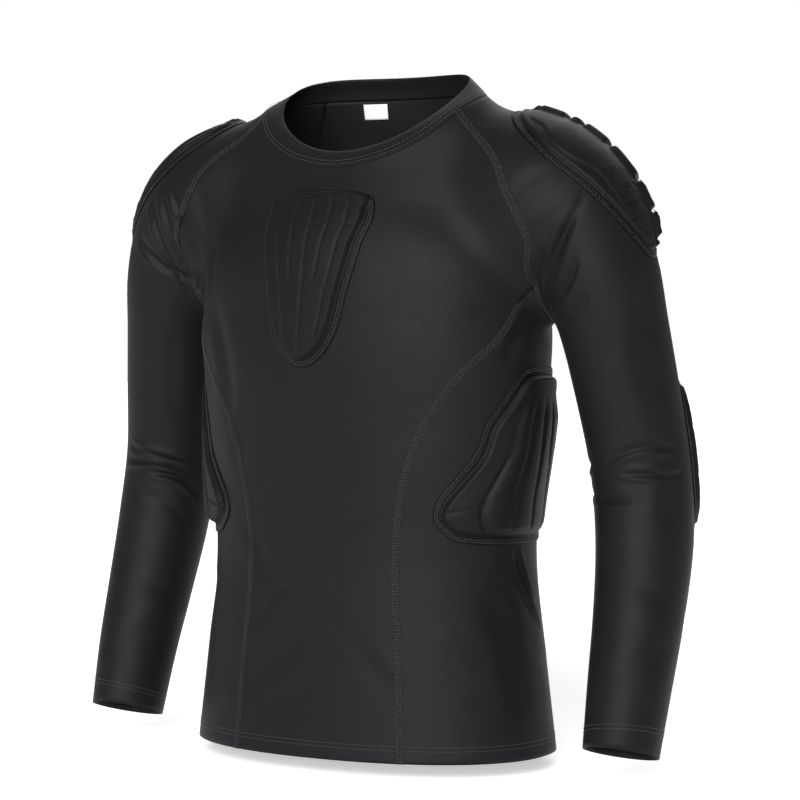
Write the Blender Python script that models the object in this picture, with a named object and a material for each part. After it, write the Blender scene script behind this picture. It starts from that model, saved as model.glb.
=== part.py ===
"""Padded long-sleeved compression shirt, filled out as worn: thin jersey panels cut raglan style,
with foam pads sewn to the chest, shoulders, ribs and elbows.

Sizes are in millimetres and become metres where a mesh is made. X points to the wearer's left,
-Y to the front and Z up, from a point between the shoulders where the wearer holds the shirt up.
"""

from collections import namedtuple

import bpy
import numpy as np

MM = 0.001

# Cloth and seams
CLOTH = 1.5
BAND_CLOTH = 1.9
SEAM_GAP = 0.3
PAD_LIFT = 0.7
LABEL_CLOTH = 0.6

# How finely the panels are divided
SIDE_STEPS = 16
RAGLAN_STEPS = 8
PANEL_STEPS = 12
UNDERARM_STEPS = 8
NECK_STEPS = 4
SLEEVE_STEPS = 22
BAND_STEPS = 2

Section = namedtuple("Section", "height half_width half_depth shift squareness")
TORSO = [
    Section(-545, 160, 103, 0, 2.2),
    Section(-460, 150, 97, 0, 2.2),
    Section(-385, 142, 93, 0, 2.2),
    Section(-280, 149, 97, 0, 2.2),
    Section(-190, 155, 99, 0, 2.2),
    Section(-125, 146, 93, 1, 2.1),
    Section(-85, 120, 78, 3, 2.0),
    Section(-60, 103, 67, 5, 2.0),
    Section(-30, 94, 62, 6, 2.0),
    Section(0, 88, 60, 6, 2.0),
    Section(30, 82, 56, 4, 2.0),
]

Station = namedtuple("Station", "out back up half_width half_depth")
SHOULDER = [
    Station(40, 8, -66, 60, 54),
    Station(95, 8, -70, 58, 53),
    Station(150, 7, -90, 54, 54),
]
SLEEVE = [
    Station(150, 7, -90, 52, 53),
    Station(183, 8, -112, 52, 53),
    Station(202, 12, -150, 47, 51),
    Station(211, 18, -190, 43, 48),
    Station(220, 26, -245, 41, 45),
    Station(228, 34, -305, 40, 43),
    Station(234, 29, -360, 39, 42),
    Station(237, 12, -420, 36, 39),
    Station(238, -7, -475, 33, 36),
    Station(238, -23, -528, 30, 33),
]
SHOULDER_BLEND = 34
UNDERARM_BLEND = 16
BLEND_WIDENS_FROM = -222
BLEND_WIDENS_OVER = 90

# The neck: the seam round it and the edge of its opening, with their heights at the front, side and back
NeckLoop = namedtuple("NeckLoop", "half_width half_depth shift front side back")
NECK_SEAM = NeckLoop(96, 67, 5, -64, -12, 1)
NECK_EDGE = NeckLoop(84, 57, 2, -50, 2, 18)
RAGLAN_NECK_FRONT = 68
RAGLAN_NECK_BACK = 128

HEM_HEIGHT = -540
GAP_BESIDE_ARM = 162
ARM_HEART_HEIGHT = -110
UNDERARM_FRONT = -24
UNDERARM_BACK = 38

# Seams on the torso: height, and the angle round from the centre front at which the seam lies
SeamPoint = namedtuple("SeamPoint", "height around")
RAGLAN_FRONT = [
    SeamPoint(-148, 77.5),
    SeamPoint(-116, 73),
    SeamPoint(-80, 70),
    SeamPoint(-45, 72),
]
RAGLAN_BACK = [
    SeamPoint(-146, 113),
    SeamPoint(-116, 115),
    SeamPoint(-80, 117),
    SeamPoint(-35, 122),
]
SIDE_FRONT = [
    SeamPoint(-540, 40),
    SeamPoint(-460, 40),
    SeamPoint(-385, 39),
    SeamPoint(-330, 41),
    SeamPoint(-275, 48),
    SeamPoint(-225, 62),
    SeamPoint(-180, 82),
]
SIDE_BACK = [
    SeamPoint(-540, 140),
    SeamPoint(-460, 140),
    SeamPoint(-385, 141),
    SeamPoint(-330, 139),
    SeamPoint(-275, 132),
    SeamPoint(-225, 120),
    SeamPoint(-180, 106),
]

# Pads: rows from the top to the bottom. On the chest left and right are distances across, on the ribs
# angles round the torso, and on the sleeves angles round the arm, where 0 is outward and 90 is to the back.
PadRow = namedtuple("PadRow", "along left right")
CHEST_PAD = [
    PadRow(-86, -45, 33),
    PadRow(-92, -53, 43),
    PadRow(-106, -55, 46),
    PadRow(-126, -53, 41),
    PadRow(-148, -48, 36),
    PadRow(-170, -45, 30),
    PadRow(-190, -42, 25),
    PadRow(-206, -38, 18),
    PadRow(-218, -29, 8),
    PadRow(-225, -17, -4),
]
SHOULDER_PAD = [
    PadRow(76, -12, 20),
    PadRow(82, -25, 33),
    PadRow(98, -40, 48),
    PadRow(118, -48, 57),
    PadRow(136, -50, 58),
    PadRow(152, -46, 54),
    PadRow(166, -38, 46),
    PadRow(179, -28, 36),
    PadRow(190, -17, 25),
    PadRow(198, -6, 14),
]
RIB_PAD = [
    PadRow(-226, 83, 101),
    PadRow(-231, 80, 104),
    PadRow(-248, 75, 109),
    PadRow(-270, 69, 115),
    PadRow(-292, 66, 118),
    PadRow(-312, 60, 124),
    PadRow(-331, 54, 129),
    PadRow(-347, 53, 130),
    PadRow(-358, 57, 126),
    PadRow(-364, 61, 121),
]
ELBOW_PAD = [
    PadRow(292, 44, 76),
    PadRow(298, 36, 84),
    PadRow(316, 24, 96),
    PadRow(350, 19, 101),
    PadRow(384, 24, 96),
    PadRow(400, 36, 84),
    PadRow(406, 44, 76),
]

# How each pad is raised. Flange, foam, blocks and groove floor are heights over the cloth. The foot and the
# top of the foam's slope are shares of the half width. Grooves are places from -1 to 1 across and along.
PAD_FORM_FIELDS = (
    "flange foam blocks foot top grooves_across grooves_along groove_half groove_floor "
    "step_across step_along"
)
PadForm = namedtuple("PadForm", PAD_FORM_FIELDS)
CHEST_FORM = PadForm(
    flange=1.0,
    foam=6.0,
    blocks=6.0,
    foot=0.84,
    top=0.74,
    grooves_across=(-0.54, -0.27, 0, 0.27, 0.54),
    grooves_along=(-0.6, -0.22, 0.14, 0.48),
    groove_half=0.03,
    groove_floor=4.0,
    step_across=0.3,
    step_along=0.35,
)
SHOULDER_FORM = PadForm(
    flange=1.0,
    foam=6.5,
    blocks=9.5,
    foot=0.82,
    top=0.64,
    grooves_across=(),
    grooves_along=(-0.5, 0, 0.5),
    groove_half=0.035,
    groove_floor=6.5,
    step_across=0.25,
    step_along=0.22,
)
RIB_FORM = PadForm(
    flange=1.0,
    foam=6.0,
    blocks=9.0,
    foot=0.86,
    top=0.76,
    grooves_across=(-0.41, -0.14, 0.14, 0.41),
    grooves_along=(),
    groove_half=0.03,
    groove_floor=5.0,
    step_across=0.2,
    step_along=0.25,
)
ELBOW_FORM = PadForm(
    flange=1.0,
    foam=6.0,
    blocks=6.0,
    foot=0.82,
    top=0.62,
    grooves_across=(),
    grooves_along=(-0.3, 0.3),
    groove_half=0.04,
    groove_floor=4.0,
    step_across=0.26,
    step_along=0.2,
)
SHOULDER_CREST = 0.34
RIB_CREST = 0.41
CREST_SLOPE = 0.04

# The size label inside the back neck
LABEL_CENTRE = -35
LABEL_WIDTH = 21
LABEL_TOP = -3
LABEL_HEIGHT = 13

# How far from its starting point a ray looks for the cloth: from nearest to furthest
TORSO_REACH = (30, 230)
FRONT_REACH = (20, 150)
ARM_REACH = (4, 110)
HOLLOW_REACH = (0, 140)
NECK_REACH = (20, 120)

# Along this share of the sleeve its lines turn from the seams' spacing to an even one
SLEEVE_EVENS_OUT = 0.45

# The tilt that decides which way the rim's faces are split, the same for two walls that meet
RIM_TILT = 0.37

# Folds: each runs from one place to another, and is this wide and deep
Fold = namedtuple("Fold", "x0 y0 z0 x1 y1 z1 width depth")
FOLDS = [
    Fold(-190, -40, -72, -170, -45, -150, 11, 5),
    Fold(-204, -34, -82, -176, -40, -176, 11, 5),
    Fold(-216, -24, -98, -178, -38, -205, 12, 5),
    Fold(-228, -12, -130, -176, -34, -236, 12, 4),
    Fold(176, -44, -105, 168, -25, -180, 11, 5),
    Fold(200, -36, -160, 178, -28, -196, 11, 3),
    Fold(-266, 0, -300, -200, -8, -318, 13, 4),
    Fold(-262, -4, -328, -206, -10, -342, 12, 3),
    Fold(200, -2, -312, 262, -4, -304, 13, 4),
    Fold(206, -8, -336, 256, -14, -330, 11, 3),
    Fold(104, -70, -372, 118, -66, -440, 13, 4),
    Fold(-92, -74, -452, -52, -92, -496, 14, 3),
]

CLOTH_COLOUR = (0.0195, 0.0203, 0.0225, 1)
PAD_COLOUR = (0.0165, 0.0172, 0.019, 1)
LABEL_COLOUR = (0.78, 0.78, 0.76, 1)


def spline(at, knots, values):
    """A smooth curve through values at rising knots, read at the places in at."""
    at = np.clip(np.asarray(at, float), knots[0], knots[-1])
    knots = np.asarray(knots, float)
    values = np.asarray(values, float)
    slopes = np.gradient(values, knots)
    low = np.clip(np.searchsorted(knots, at, side="right") - 1, 0, len(knots) - 2)
    step = knots[low + 1] - knots[low]
    t = (at - knots[low]) / step
    rise = values[low + 1] - values[low]
    bend_low = slopes[low] * step - rise
    bend_high = rise - slopes[low + 1] * step
    return values[low] + rise * t + t * (1 - t) * (bend_low * (1 - t) + bend_high * t)


def column(rows, name):
    return [getattr(row, name) for row in rows]


def torso_distance(p):
    """About how far outside the torso each point is, from its sections."""
    heights = column(TORSO, "height")
    wide = spline(p[..., 2], heights, column(TORSO, "half_width"))
    deep = spline(p[..., 2], heights, column(TORSO, "half_depth"))
    shift = spline(p[..., 2], heights, column(TORSO, "shift"))
    power = spline(p[..., 2], heights, column(TORSO, "squareness"))
    x = np.abs(p[..., 0]) / wide + 1e-6
    y = np.abs(p[..., 1] - shift) / deep + 1e-6
    reach = (x**power + y**power) ** (1 / power)
    slope_x = (x / reach) ** (power - 1) / wide
    slope_y = (y / reach) ** (power - 1) / deep
    return (reach - 1) / np.hypot(slope_x, slope_y)


def tube_path(stations, samples):
    """Centres, directions and half sizes along a tube with these stations."""
    places = np.array([[row.out, row.back, row.up] for row in stations], float)
    lengths = np.linalg.norm(np.diff(places, axis=0), axis=1)
    knots = np.concatenate([[0], np.cumsum(lengths)])
    at = np.linspace(0, knots[-1], samples)
    centres = np.stack([spline(at, knots, places[:, i]) for i in range(3)], axis=-1)
    along = np.gradient(centres, axis=0)
    along /= np.linalg.norm(along, axis=1, keepdims=True)
    wide = spline(at, knots, column(stations, "half_width"))
    deep = spline(at, knots, column(stations, "half_depth"))
    return centres, along, wide, deep


def side_axes(along):
    """The front-to-back axis and the across axis of a tube, square to its direction."""
    deep_axis = np.array([0.0, 1.0, 0.0]) - along * along[..., 1:2]
    deep_axis /= np.linalg.norm(deep_axis, axis=-1, keepdims=True)
    return deep_axis, np.cross(deep_axis, along)


def tube_distance(p, path):
    """About how far outside an oval tube each point is. Past the tube's ends its section is rounded off."""
    centres, along, wide, deep = path
    flat = p.reshape(-1, 3).copy()
    flat[:, 0] = np.abs(flat[:, 0])
    squares = (flat**2).sum(1)[:, None] - 2 * flat @ centres.T + (centres**2).sum(1)
    near = squares.argmin(1)
    near = np.clip(near, 1, len(centres) - 2)
    start = centres[near - 1]
    chord = centres[near + 1] - start
    share = ((flat - start) * chord).sum(1) / (chord**2).sum(1)
    share = np.clip(share, 0, 1) * 2
    low = near - 1 + (share >= 1)
    part = (share - (share >= 1))[:, None]

    def between(values):
        return values[low] * (1 - part) + values[low + 1] * part

    centre = start + chord * share[:, None] / 2
    direction = between(along)
    direction /= np.linalg.norm(direction, axis=1, keepdims=True)
    deep_axis, wide_axis = side_axes(direction)
    half_wide = between(wide[:, None])[:, 0]
    half_deep = between(deep[:, None])[:, 0]
    away = flat - centre
    length = np.linalg.norm(away, axis=1) + 1e-6
    x = (away * wide_axis).sum(1)
    y = (away * deep_axis).sum(1)
    z = (away * direction).sum(1)
    ends = (half_wide + half_deep) / 2
    reach = np.sqrt((x / half_wide) ** 2 + (y / half_deep) ** 2 + (z / ends) ** 2) + 1e-6
    return (length * (1 - 1 / reach)).reshape(p.shape[:-1])


SHOULDER_PATH = tube_path(SHOULDER, 16)
SLEEVE_PATH = tube_path(SLEEVE, 60)


def blend(a, b, width):
    """The smaller of two distances, rounded where they cross."""
    share = np.clip(0.5 + (b - a) / (2 * width), 0, 1)
    return b + (a - b) * share - width * share * (1 - share)


def body_distance(p):
    """How far outside the filled-out shirt each point is."""
    torso = torso_distance(p)
    trunk = blend(torso, tube_distance(p, SHOULDER_PATH), SHOULDER_BLEND)
    arm = tube_distance(p, SLEEVE_PATH)
    lift = np.clip((p[..., 2] - BLEND_WIDENS_FROM) / BLEND_WIDENS_OVER, 0, 1)
    width = UNDERARM_BLEND + (SHOULDER_BLEND - UNDERARM_BLEND) * lift
    return blend(trunk, arm, width)


def slope_of(p):
    """The outward direction at each point, with its steepness."""
    step = 0.5
    slope = np.empty(p.shape)
    for axis in range(3):
        ahead = p.copy()
        behind = p.copy()
        ahead[..., axis] += step
        behind[..., axis] -= step
        slope[..., axis] = (body_distance(ahead) - body_distance(behind)) / (2 * step)
    return slope


def outward(p):
    slope = slope_of(p)
    return slope / np.linalg.norm(slope, axis=-1, keepdims=True)


def onto_body(p, rounds=6):
    """Each point moved to the nearest place on the filled-out shirt."""
    p = np.array(p, float)
    for _ in range(rounds):
        slope = slope_of(p)
        steep = np.maximum((slope**2).sum(-1, keepdims=True), 0.3)
        move = body_distance(p)[..., None] * slope / steep
        size = np.linalg.norm(move, axis=-1, keepdims=True)
        p -= move * np.minimum(1, 25 / np.maximum(size, 1e-6))
    return p


def cast(origin, direction, near, far):
    """Where each ray first leaves the shirt, looking between two distances from its origin."""
    low = np.full(origin.shape[:-1], float(near))
    high = np.full(origin.shape[:-1], float(far))
    found = np.zeros(origin.shape[:-1], bool)
    for distance in np.linspace(near, far, 33)[1:]:
        outside = body_distance(origin + direction * distance) > 0
        high = np.where(outside & ~found, distance, high)
        low = np.where(~outside & ~found, distance, low)
        found |= outside
    for _ in range(14):
        middle = (low + high) / 2
        outside = body_distance(origin + direction * middle[..., None]) > 0
        high = np.where(outside, middle, high)
        low = np.where(outside, low, middle)
    return origin + direction * low[..., None]


def torso_points(around, height):
    """Places on the torso, from the angle round it and the height."""
    around, height = np.broadcast_arrays(np.radians(around), np.asarray(height, float))
    direction = np.stack([np.sin(around), -np.cos(around), np.zeros(around.shape)], axis=-1)
    origin = np.stack([0 * height, 0 * height, height], axis=-1)
    return cast(origin, direction, *TORSO_REACH)


def chest_points(across, height):
    """Places on the front, straight behind a flat picture of it."""
    across, height = np.broadcast_arrays(np.asarray(across, float), np.asarray(height, float))
    origin = np.stack([across, 0 * height, height], axis=-1)
    return cast(origin, np.broadcast_to([0.0, -1.0, 0.0], origin.shape), *FRONT_REACH)


ARM = SHOULDER + SLEEVE[1:]
ARM_SAMPLES = 120
ARM_PATH = tube_path(ARM, ARM_SAMPLES)
ARM_LENGTH = np.linalg.norm(np.diff(ARM_PATH[0], axis=0), axis=1).sum()


def arm_frame(along):
    """The centre line of the arm at these lengths, with its upper or outer axis and its back axis."""
    at = np.linspace(0, ARM_LENGTH, ARM_SAMPLES)
    centre = np.stack([np.interp(along, at, ARM_PATH[0][:, i]) for i in range(3)], axis=-1)
    direction = np.stack([np.interp(along, at, ARM_PATH[1][:, i]) for i in range(3)], axis=-1)
    direction /= np.linalg.norm(direction, axis=-1, keepdims=True)
    back, inner = side_axes(direction)
    return centre, -inner, back


def arm_points(turn, along):
    """Places on the wearer's left shoulder and arm, from the angle round it and the length along it."""
    along, turn = np.broadcast_arrays(np.asarray(along, float), np.radians(turn))
    centre, outer, back = arm_frame(along)
    direction = outer * np.cos(turn)[..., None] + back * np.sin(turn)[..., None]
    return cast(centre, direction, *ARM_REACH)


def arm_place(p):
    """The length along the arm and the angle round it of places near it."""
    at = np.linspace(0, ARM_LENGTH, ARM_SAMPLES)
    away = np.linalg.norm(p[:, None] - ARM_PATH[0][None], axis=-1)
    along = at[away.argmin(1)]
    centre, outer, back = arm_frame(along)
    turn = np.arctan2(((p - centre) * back).sum(-1), ((p - centre) * outer).sum(-1))
    return along, np.degrees(turn) % 360


def neck_loop(loop, around):
    """A loop round the neck, at these angles from the centre front."""
    a = np.radians(around)
    swing = (loop.front - loop.back) / 2
    middle = ((loop.front + loop.back) / 2 + loop.side) / 2
    twist = ((loop.front + loop.back) / 2 - loop.side) / 2
    height = middle + swing * np.cos(a) + twist * np.cos(2 * a)
    return np.stack([loop.half_width * np.sin(a), loop.shift - loop.half_depth * np.cos(a), height], axis=-1)


def seam_rows(rows, steps):
    """Angles and heights at even steps up a seam."""
    heights = column(rows, "height")
    height = np.linspace(heights[0], heights[-1], steps + 1)
    return spline(height, heights, column(rows, "around")), height


def side_seam(rows):
    around, height = seam_rows(rows, SIDE_STEPS)
    return torso_points(around, height)


def raglan_seam(rows, neck_angle, corner):
    """A raglan seam on the wearer's left, from its corner under the arm up to the neck seam."""
    around, height = seam_rows(rows, RAGLAN_STEPS * 2)
    neck = onto_body(neck_loop(NECK_SEAM, np.array([neck_angle])))
    line = np.concatenate([corner[None], torso_points(around, height), neck])
    lengths = np.linalg.norm(np.diff(line, axis=0), axis=1)
    knots = np.concatenate([[0], np.cumsum(lengths)])
    at = np.linspace(0, knots[-1], RAGLAN_STEPS + 1)
    even = np.stack([np.interp(at, knots, line[:, i]) for i in range(3)], axis=-1)
    even[1:] = onto_body(even[1:])
    return even


def underarm_seam():
    """The seam under the arm, from the back raglan seam to the front one, between arm and side."""
    y = np.linspace(UNDERARM_BACK, UNDERARM_FRONT, UNDERARM_STEPS + 1)
    origin = np.stack([0 * y + GAP_BESIDE_ARM, y, 0 * y + ARM_HEART_HEIGHT], axis=-1)
    return cast(origin, np.broadcast_to([0.0, 0.0, -1.0], origin.shape), *HOLLOW_REACH)


def coons(bottom, top, left, right):
    """A grid filled in between its four edges. Rows run from the bottom to the top."""
    v = np.linspace(0, 1, len(left))[:, None, None]
    u = np.linspace(0, 1, len(bottom))[None, :, None]
    across = left[:, None] * (1 - u) + right[:, None] * u
    up = bottom[None] * (1 - v) + top[None] * v
    corners = (
        bottom[0] * (1 - u) * (1 - v) + bottom[-1] * u * (1 - v) + top[0] * (1 - u) * v + top[-1] * u * v
    )
    return across + up - corners


def settle(grid, closed=False, rounds=24):
    """The grid evened out over the shirt's surface, with its edges kept."""
    grid = grid.copy()
    for _ in range(rounds):
        if closed:
            sides = (np.roll(grid, 1, axis=1) + np.roll(grid, -1, axis=1))[1:-1]
            middle = (sides + grid[:-2] + grid[2:]) / 4
            grid[1:-1] = grid[1:-1] * 0.4 + middle * 0.6
        else:
            middle = (grid[1:-1, :-2] + grid[1:-1, 2:] + grid[:-2, 1:-1] + grid[2:, 1:-1]) / 4
            grid[1:-1, 1:-1] = grid[1:-1, 1:-1] * 0.4 + middle * 0.6
        inside = grid[1:-1] if closed else grid[1:-1, 1:-1]
        inside[...] = onto_body(inside, 2)
    return grid


def mirrored(points):
    return points * np.array([-1.0, 1.0, 1.0])


def body_panel(side_rows, raglan_rows, neck_from, neck_to, hem_from, hem_to):
    """The front or the back, from the hem to the neck. Its left and right edges are the same seams."""
    corner = underarm_seam()[-1 if neck_to < 90 else 0]
    side = side_seam(side_rows)
    raglan = raglan_seam(raglan_rows, neck_to if neck_to < 90 else neck_from, corner)
    edge = np.concatenate([side[:-1], raglan])
    hem = torso_points(np.linspace(hem_from, hem_to, PANEL_STEPS + 1), HEM_HEIGHT)
    neck = onto_body(neck_loop(NECK_SEAM, np.linspace(neck_from, neck_to, PANEL_STEPS + 1)))
    ends = (mirrored(edge), edge) if neck_to < 90 else (edge, mirrored(edge))
    hem[0], hem[-1] = ends[0][0], ends[1][0]
    neck[0], neck[-1] = ends[0][-1], ends[1][-1]
    lines = coons(flat_of(hem), flat_of(neck), flat_of(ends[0]), flat_of(ends[1]))
    grid = torso_points(lines[..., 0], lines[..., 1])
    grid[0], grid[-1], grid[:, 0], grid[:, -1] = hem, neck, ends[0], ends[1]
    return settle(grid)


def flat_of(points):
    """The angle round the torso and the height of places on it. Angles past the back run on to 360."""
    around = np.degrees(np.arctan2(points[..., 0], -points[..., 1]))
    if np.abs(around).mean() > 100:
        around = around % 360
    return np.stack([around, points[..., 2]], axis=-1)


def front_grid():
    edge = SIDE_FRONT[0].around
    return body_panel(SIDE_FRONT, RAGLAN_FRONT, -RAGLAN_NECK_FRONT, RAGLAN_NECK_FRONT, -edge, edge)


def back_grid():
    edge = SIDE_BACK[0].around
    neck = RAGLAN_NECK_BACK
    return body_panel(SIDE_BACK, RAGLAN_BACK, neck, 360 - neck, edge, 360 - edge)


def side_grid():
    """The side panel on the wearer's left: columns run from the front seam to the back one."""
    front = side_seam(SIDE_FRONT)
    back = side_seam(SIDE_BACK)
    top = underarm_seam()[::-1]
    around = np.linspace(SIDE_FRONT[0].around, SIDE_BACK[0].around, UNDERARM_STEPS + 1)
    hem = torso_points(around, HEM_HEIGHT)
    front[-1], back[-1] = top[0], top[-1]
    lines = coons(flat_of(hem), flat_of(top), flat_of(front), flat_of(back))
    grid = torso_points(lines[..., 0], lines[..., 1])
    grid[0], grid[-1], grid[:, 0], grid[:, -1] = hem, top, front, back
    return settle(grid)


def sleeve_grid():
    """The sleeve on the wearer's left: rings from its seams with the body and neck down to the cuff."""
    around_neck = np.linspace(RAGLAN_NECK_FRONT, RAGLAN_NECK_BACK, NECK_STEPS + 1)
    neck = onto_body(neck_loop(NECK_SEAM, around_neck))
    under = underarm_seam()
    back = raglan_seam(RAGLAN_BACK, RAGLAN_NECK_BACK, under[0])[::-1]
    front = raglan_seam(RAGLAN_FRONT, RAGLAN_NECK_FRONT, under[-1])
    loop = np.concatenate([neck[:-1], back[:-1], under[:-1], front[:-1]])
    count = len(loop)
    along, turn = arm_place(loop)
    turn[NECK_STEPS + 1 :] %= 360
    turn[: NECK_STEPS // 2 + 1] = (turn[: NECK_STEPS // 2 + 1] + 180) % 360 - 180
    even = (np.arange(count) - NECK_STEPS / 2) * 360 / count
    share = np.linspace(0, 1, SLEEVE_STEPS + 1)[:, None]
    lengths = along + (ARM_LENGTH - along) * share
    settled = np.clip(share / SLEEVE_EVENS_OUT, 0, 1)
    turns = turn + (even - turn) * settled
    grid = arm_points(turns, lengths)
    grid[0] = loop
    return settle(grid, closed=True)


def collar_grid():
    """The neck band: rings from its seam to the edge of the opening, starting at the front raglan seam."""
    front = np.linspace(-RAGLAN_NECK_FRONT, RAGLAN_NECK_FRONT, PANEL_STEPS + 1)
    left = np.linspace(RAGLAN_NECK_FRONT, RAGLAN_NECK_BACK, NECK_STEPS + 1)
    back = np.linspace(RAGLAN_NECK_BACK, 360 - RAGLAN_NECK_BACK, PANEL_STEPS + 1)
    around = np.concatenate([front[:-1], left[:-1], back[:-1], 360 - left[::-1][:-1]])
    seam = onto_body(neck_loop(NECK_SEAM, around))
    edge = neck_loop(NECK_EDGE, around)
    share = np.linspace(0, 1, BAND_STEPS + 1)[:, None, None]
    return seam + (edge - seam) * share


def fold_depth(p):
    """How far the folds press in the cloth at each place."""
    depth = np.zeros(p.shape[:-1])
    for fold in FOLDS:
        start = np.array([fold.x0, fold.y0, fold.z0], float)
        run = np.array([fold.x1, fold.y1, fold.z1], float) - start
        share = np.clip(((p - start) @ run) / (run @ run), 0, 1)
        away = np.linalg.norm(p - start - share[..., None] * run, axis=-1)
        fade = np.clip(4 * share * (1 - share) + 0.25, 0, 1)
        depth = np.maximum(depth, fold.depth * fade * np.exp(-((away / fold.width) ** 2)))
    return depth


def pulled_back(grid, closed, edges):
    """The grid with its sewn edges half a seam gap back from the seam."""
    moved = grid.copy()

    def pull(line, inner, tangent):
        away = np.cross(tangent, outward(line))
        away /= np.linalg.norm(away, axis=-1, keepdims=True)
        away *= np.sign((away * (inner - line)).sum(-1, keepdims=True))
        return away * SEAM_GAP / 2

    def run(line):
        if closed:
            return np.roll(line, -1, axis=0) - np.roll(line, 1, axis=0)
        return np.gradient(line, axis=0)

    if "bottom" in edges:
        moved[0] += pull(grid[0], grid[1], run(grid[0]))
    if "top" in edges:
        moved[-1] += pull(grid[-1], grid[-2], run(grid[-1]))
    if "sides" in edges:
        moved[:, 0] += pull(grid[:, 0], grid[:, 1], np.gradient(grid[:, 0], axis=0))
        moved[:, -1] += pull(grid[:, -1], grid[:, -2], np.gradient(grid[:, -1], axis=0))
    return moved


def add_solid(name, outer, inner, closed, material):
    """A closed wall between two grids of points of the same shape. Closed grids join round."""
    rows, columns = outer.shape[:2]
    points = np.concatenate([outer.reshape(-1, 3), inner.reshape(-1, 3)]) * MM
    inner_start = rows * columns
    faces = []

    def at(row, col):
        return row * columns + col % columns

    level = points[:, 2] + RIM_TILT * points[:, 1]

    def rim(a, b):
        c, d = b + inner_start, a + inner_start
        if level[a] < level[b]:
            faces.extend([(a, b, c), (a, c, d)])
        else:
            faces.extend([(a, b, d), (b, c, d)])

    for row in range(rows - 1):
        for col in range(columns if closed else columns - 1):
            a, b = at(row, col), at(row, col + 1)
            d, c = at(row + 1, col), at(row + 1, col + 1)
            faces.extend([(a, b, c), (a, c, d)])
            faces.append((inner_start + c, inner_start + b, inner_start + a))
            faces.append((inner_start + d, inner_start + c, inner_start + a))
    for col in range(columns if closed else columns - 1):
        for row, flip in ((0, True), (rows - 1, False)):
            a, b = at(row, col), at(row, col + 1)
            if flip:
                a, b = b, a
            rim(a, b)
    if not closed:
        for row in range(rows - 1):
            for col, flip in ((0, False), (columns - 1, True)):
                a, b = at(row, col), at(row + 1, col)
                if flip:
                    a, b = b, a
                rim(a, b)
    mesh = bpy.data.meshes.new(name)
    mesh.from_pydata([tuple(p) for p in points], [], faces)
    if signed_volume(points, faces) < 0:
        mesh.flip_normals()
    mesh.validate()
    mesh.shade_smooth()
    mesh.materials.append(material)
    made = bpy.data.objects.new(name, mesh)
    bpy.context.scene.collection.objects.link(made)
    return made


def signed_volume(points, faces):
    corners = points[np.array(faces)]
    return (np.cross(corners[:, 0], corners[:, 1]) * corners[:, 2]).sum() / 6


def add_panel(name, grid, closed, edges, material, flip=False):
    """A cloth wall whose outer side is the grid, pressed in at the folds."""
    edged = pulled_back(grid, closed, edges)
    if flip:
        edged = mirrored(edged)
    normals = outward(edged)
    outer = edged - normals * fold_depth(edged)[..., None]
    return add_solid(name, outer, outer - normals * CLOTH, closed, material)


def add_collar(grid, material):
    """The neck band. Its outward direction is worked out from its own rings."""
    edged = pulled_back(grid, True, ("bottom",))
    centre = edged.mean(axis=(0, 1))
    up = edged[-1] - edged[0]
    round_it = np.roll(edged[0], -1, axis=0) - np.roll(edged[0], 1, axis=0)
    normals = np.cross(round_it, up)
    normals /= np.linalg.norm(normals, axis=-1, keepdims=True)
    away = edged[0] - centre
    away[:, 2] = 0
    normals *= np.sign((normals * away).sum(-1, keepdims=True))
    seam_normals = outward(edged[0])
    share = np.linspace(0, 1, len(edged))[:, None, None]
    normals = seam_normals * (1 - share) + normals * share
    normals /= np.linalg.norm(normals, axis=-1, keepdims=True)
    return add_solid("collar", edged, edged - normals * BAND_CLOTH, True, material)


def pad_lines(form, grooves, crest, most):
    """The places from -1 to 1 at which a pad's height changes, with none further apart than most."""
    found = {-1.0, -form.foot, -form.top, form.top, form.foot, 1.0}
    for groove in grooves:
        found |= {groove - form.groove_half, groove, groove + form.groove_half}
    if crest and crest not in grooves:
        found |= {-crest - CREST_SLOPE, -crest, crest, crest + CREST_SLOPE}
    found = sorted(found)
    filled = found[:1]
    for low, high in zip(found, found[1:]):
        parts = int(np.ceil((high - low) / most - 1e-6))
        filled.extend(np.linspace(low, high, parts + 1)[1:])
    return np.array(filled)


def pad_heights(form, across, along, crest):
    """How high the pad stands at its lines: flange, sloped edge, foam, raised blocks and grooves."""
    edge = np.maximum(np.abs(across)[None, :], np.abs(along)[:, None])
    slope = np.clip((form.foot - edge) / (form.foot - form.top), 0, 1)
    height = form.flange + (form.foam - form.flange) * slope
    inside = edge <= form.top + 1e-9
    if crest:
        on_crest = (np.abs(across) <= crest + 1e-9)[None, :] & inside
        height = np.where(on_crest, form.blocks, height)
    both_ways = ((form.grooves_across, across[None, :]), (form.grooves_along, along[:, None]))
    for grooves, values in both_ways:
        for groove in grooves:
            cut = (np.abs(values - groove) < 1e-9) & inside
            height = np.where(cut, np.minimum(height, form.groove_floor), height)
    return height


def raised_pad(name, form, rows, place, crest, material, flip=False):
    """A pad just over the cloth. The function place turns its rows into places on the shirt."""
    across = pad_lines(form, form.grooves_across, crest, form.step_across)
    along = pad_lines(form, form.grooves_along, 0, form.step_along)
    lengths = np.array(column(rows, "along"), float)
    at = lengths[0] + (lengths[-1] - lengths[0]) * (along + 1) / 2
    order = np.argsort(lengths)
    left = np.interp(at, lengths[order], np.array(column(rows, "left"))[order])
    right = np.interp(at, lengths[order], np.array(column(rows, "right"))[order])
    side = (left + right)[:, None] / 2 + (right - left)[:, None] / 2 * across[None, :]
    base = place(side, np.broadcast_to(at[:, None], side.shape))
    if flip:
        base = mirrored(base)
    normals = outward(base)
    base = base - normals * fold_depth(base)[..., None]
    top = PAD_LIFT + pad_heights(form, across, along, crest)
    return add_solid(name, base + normals * top[..., None], base + normals * PAD_LIFT, False, material)


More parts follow.
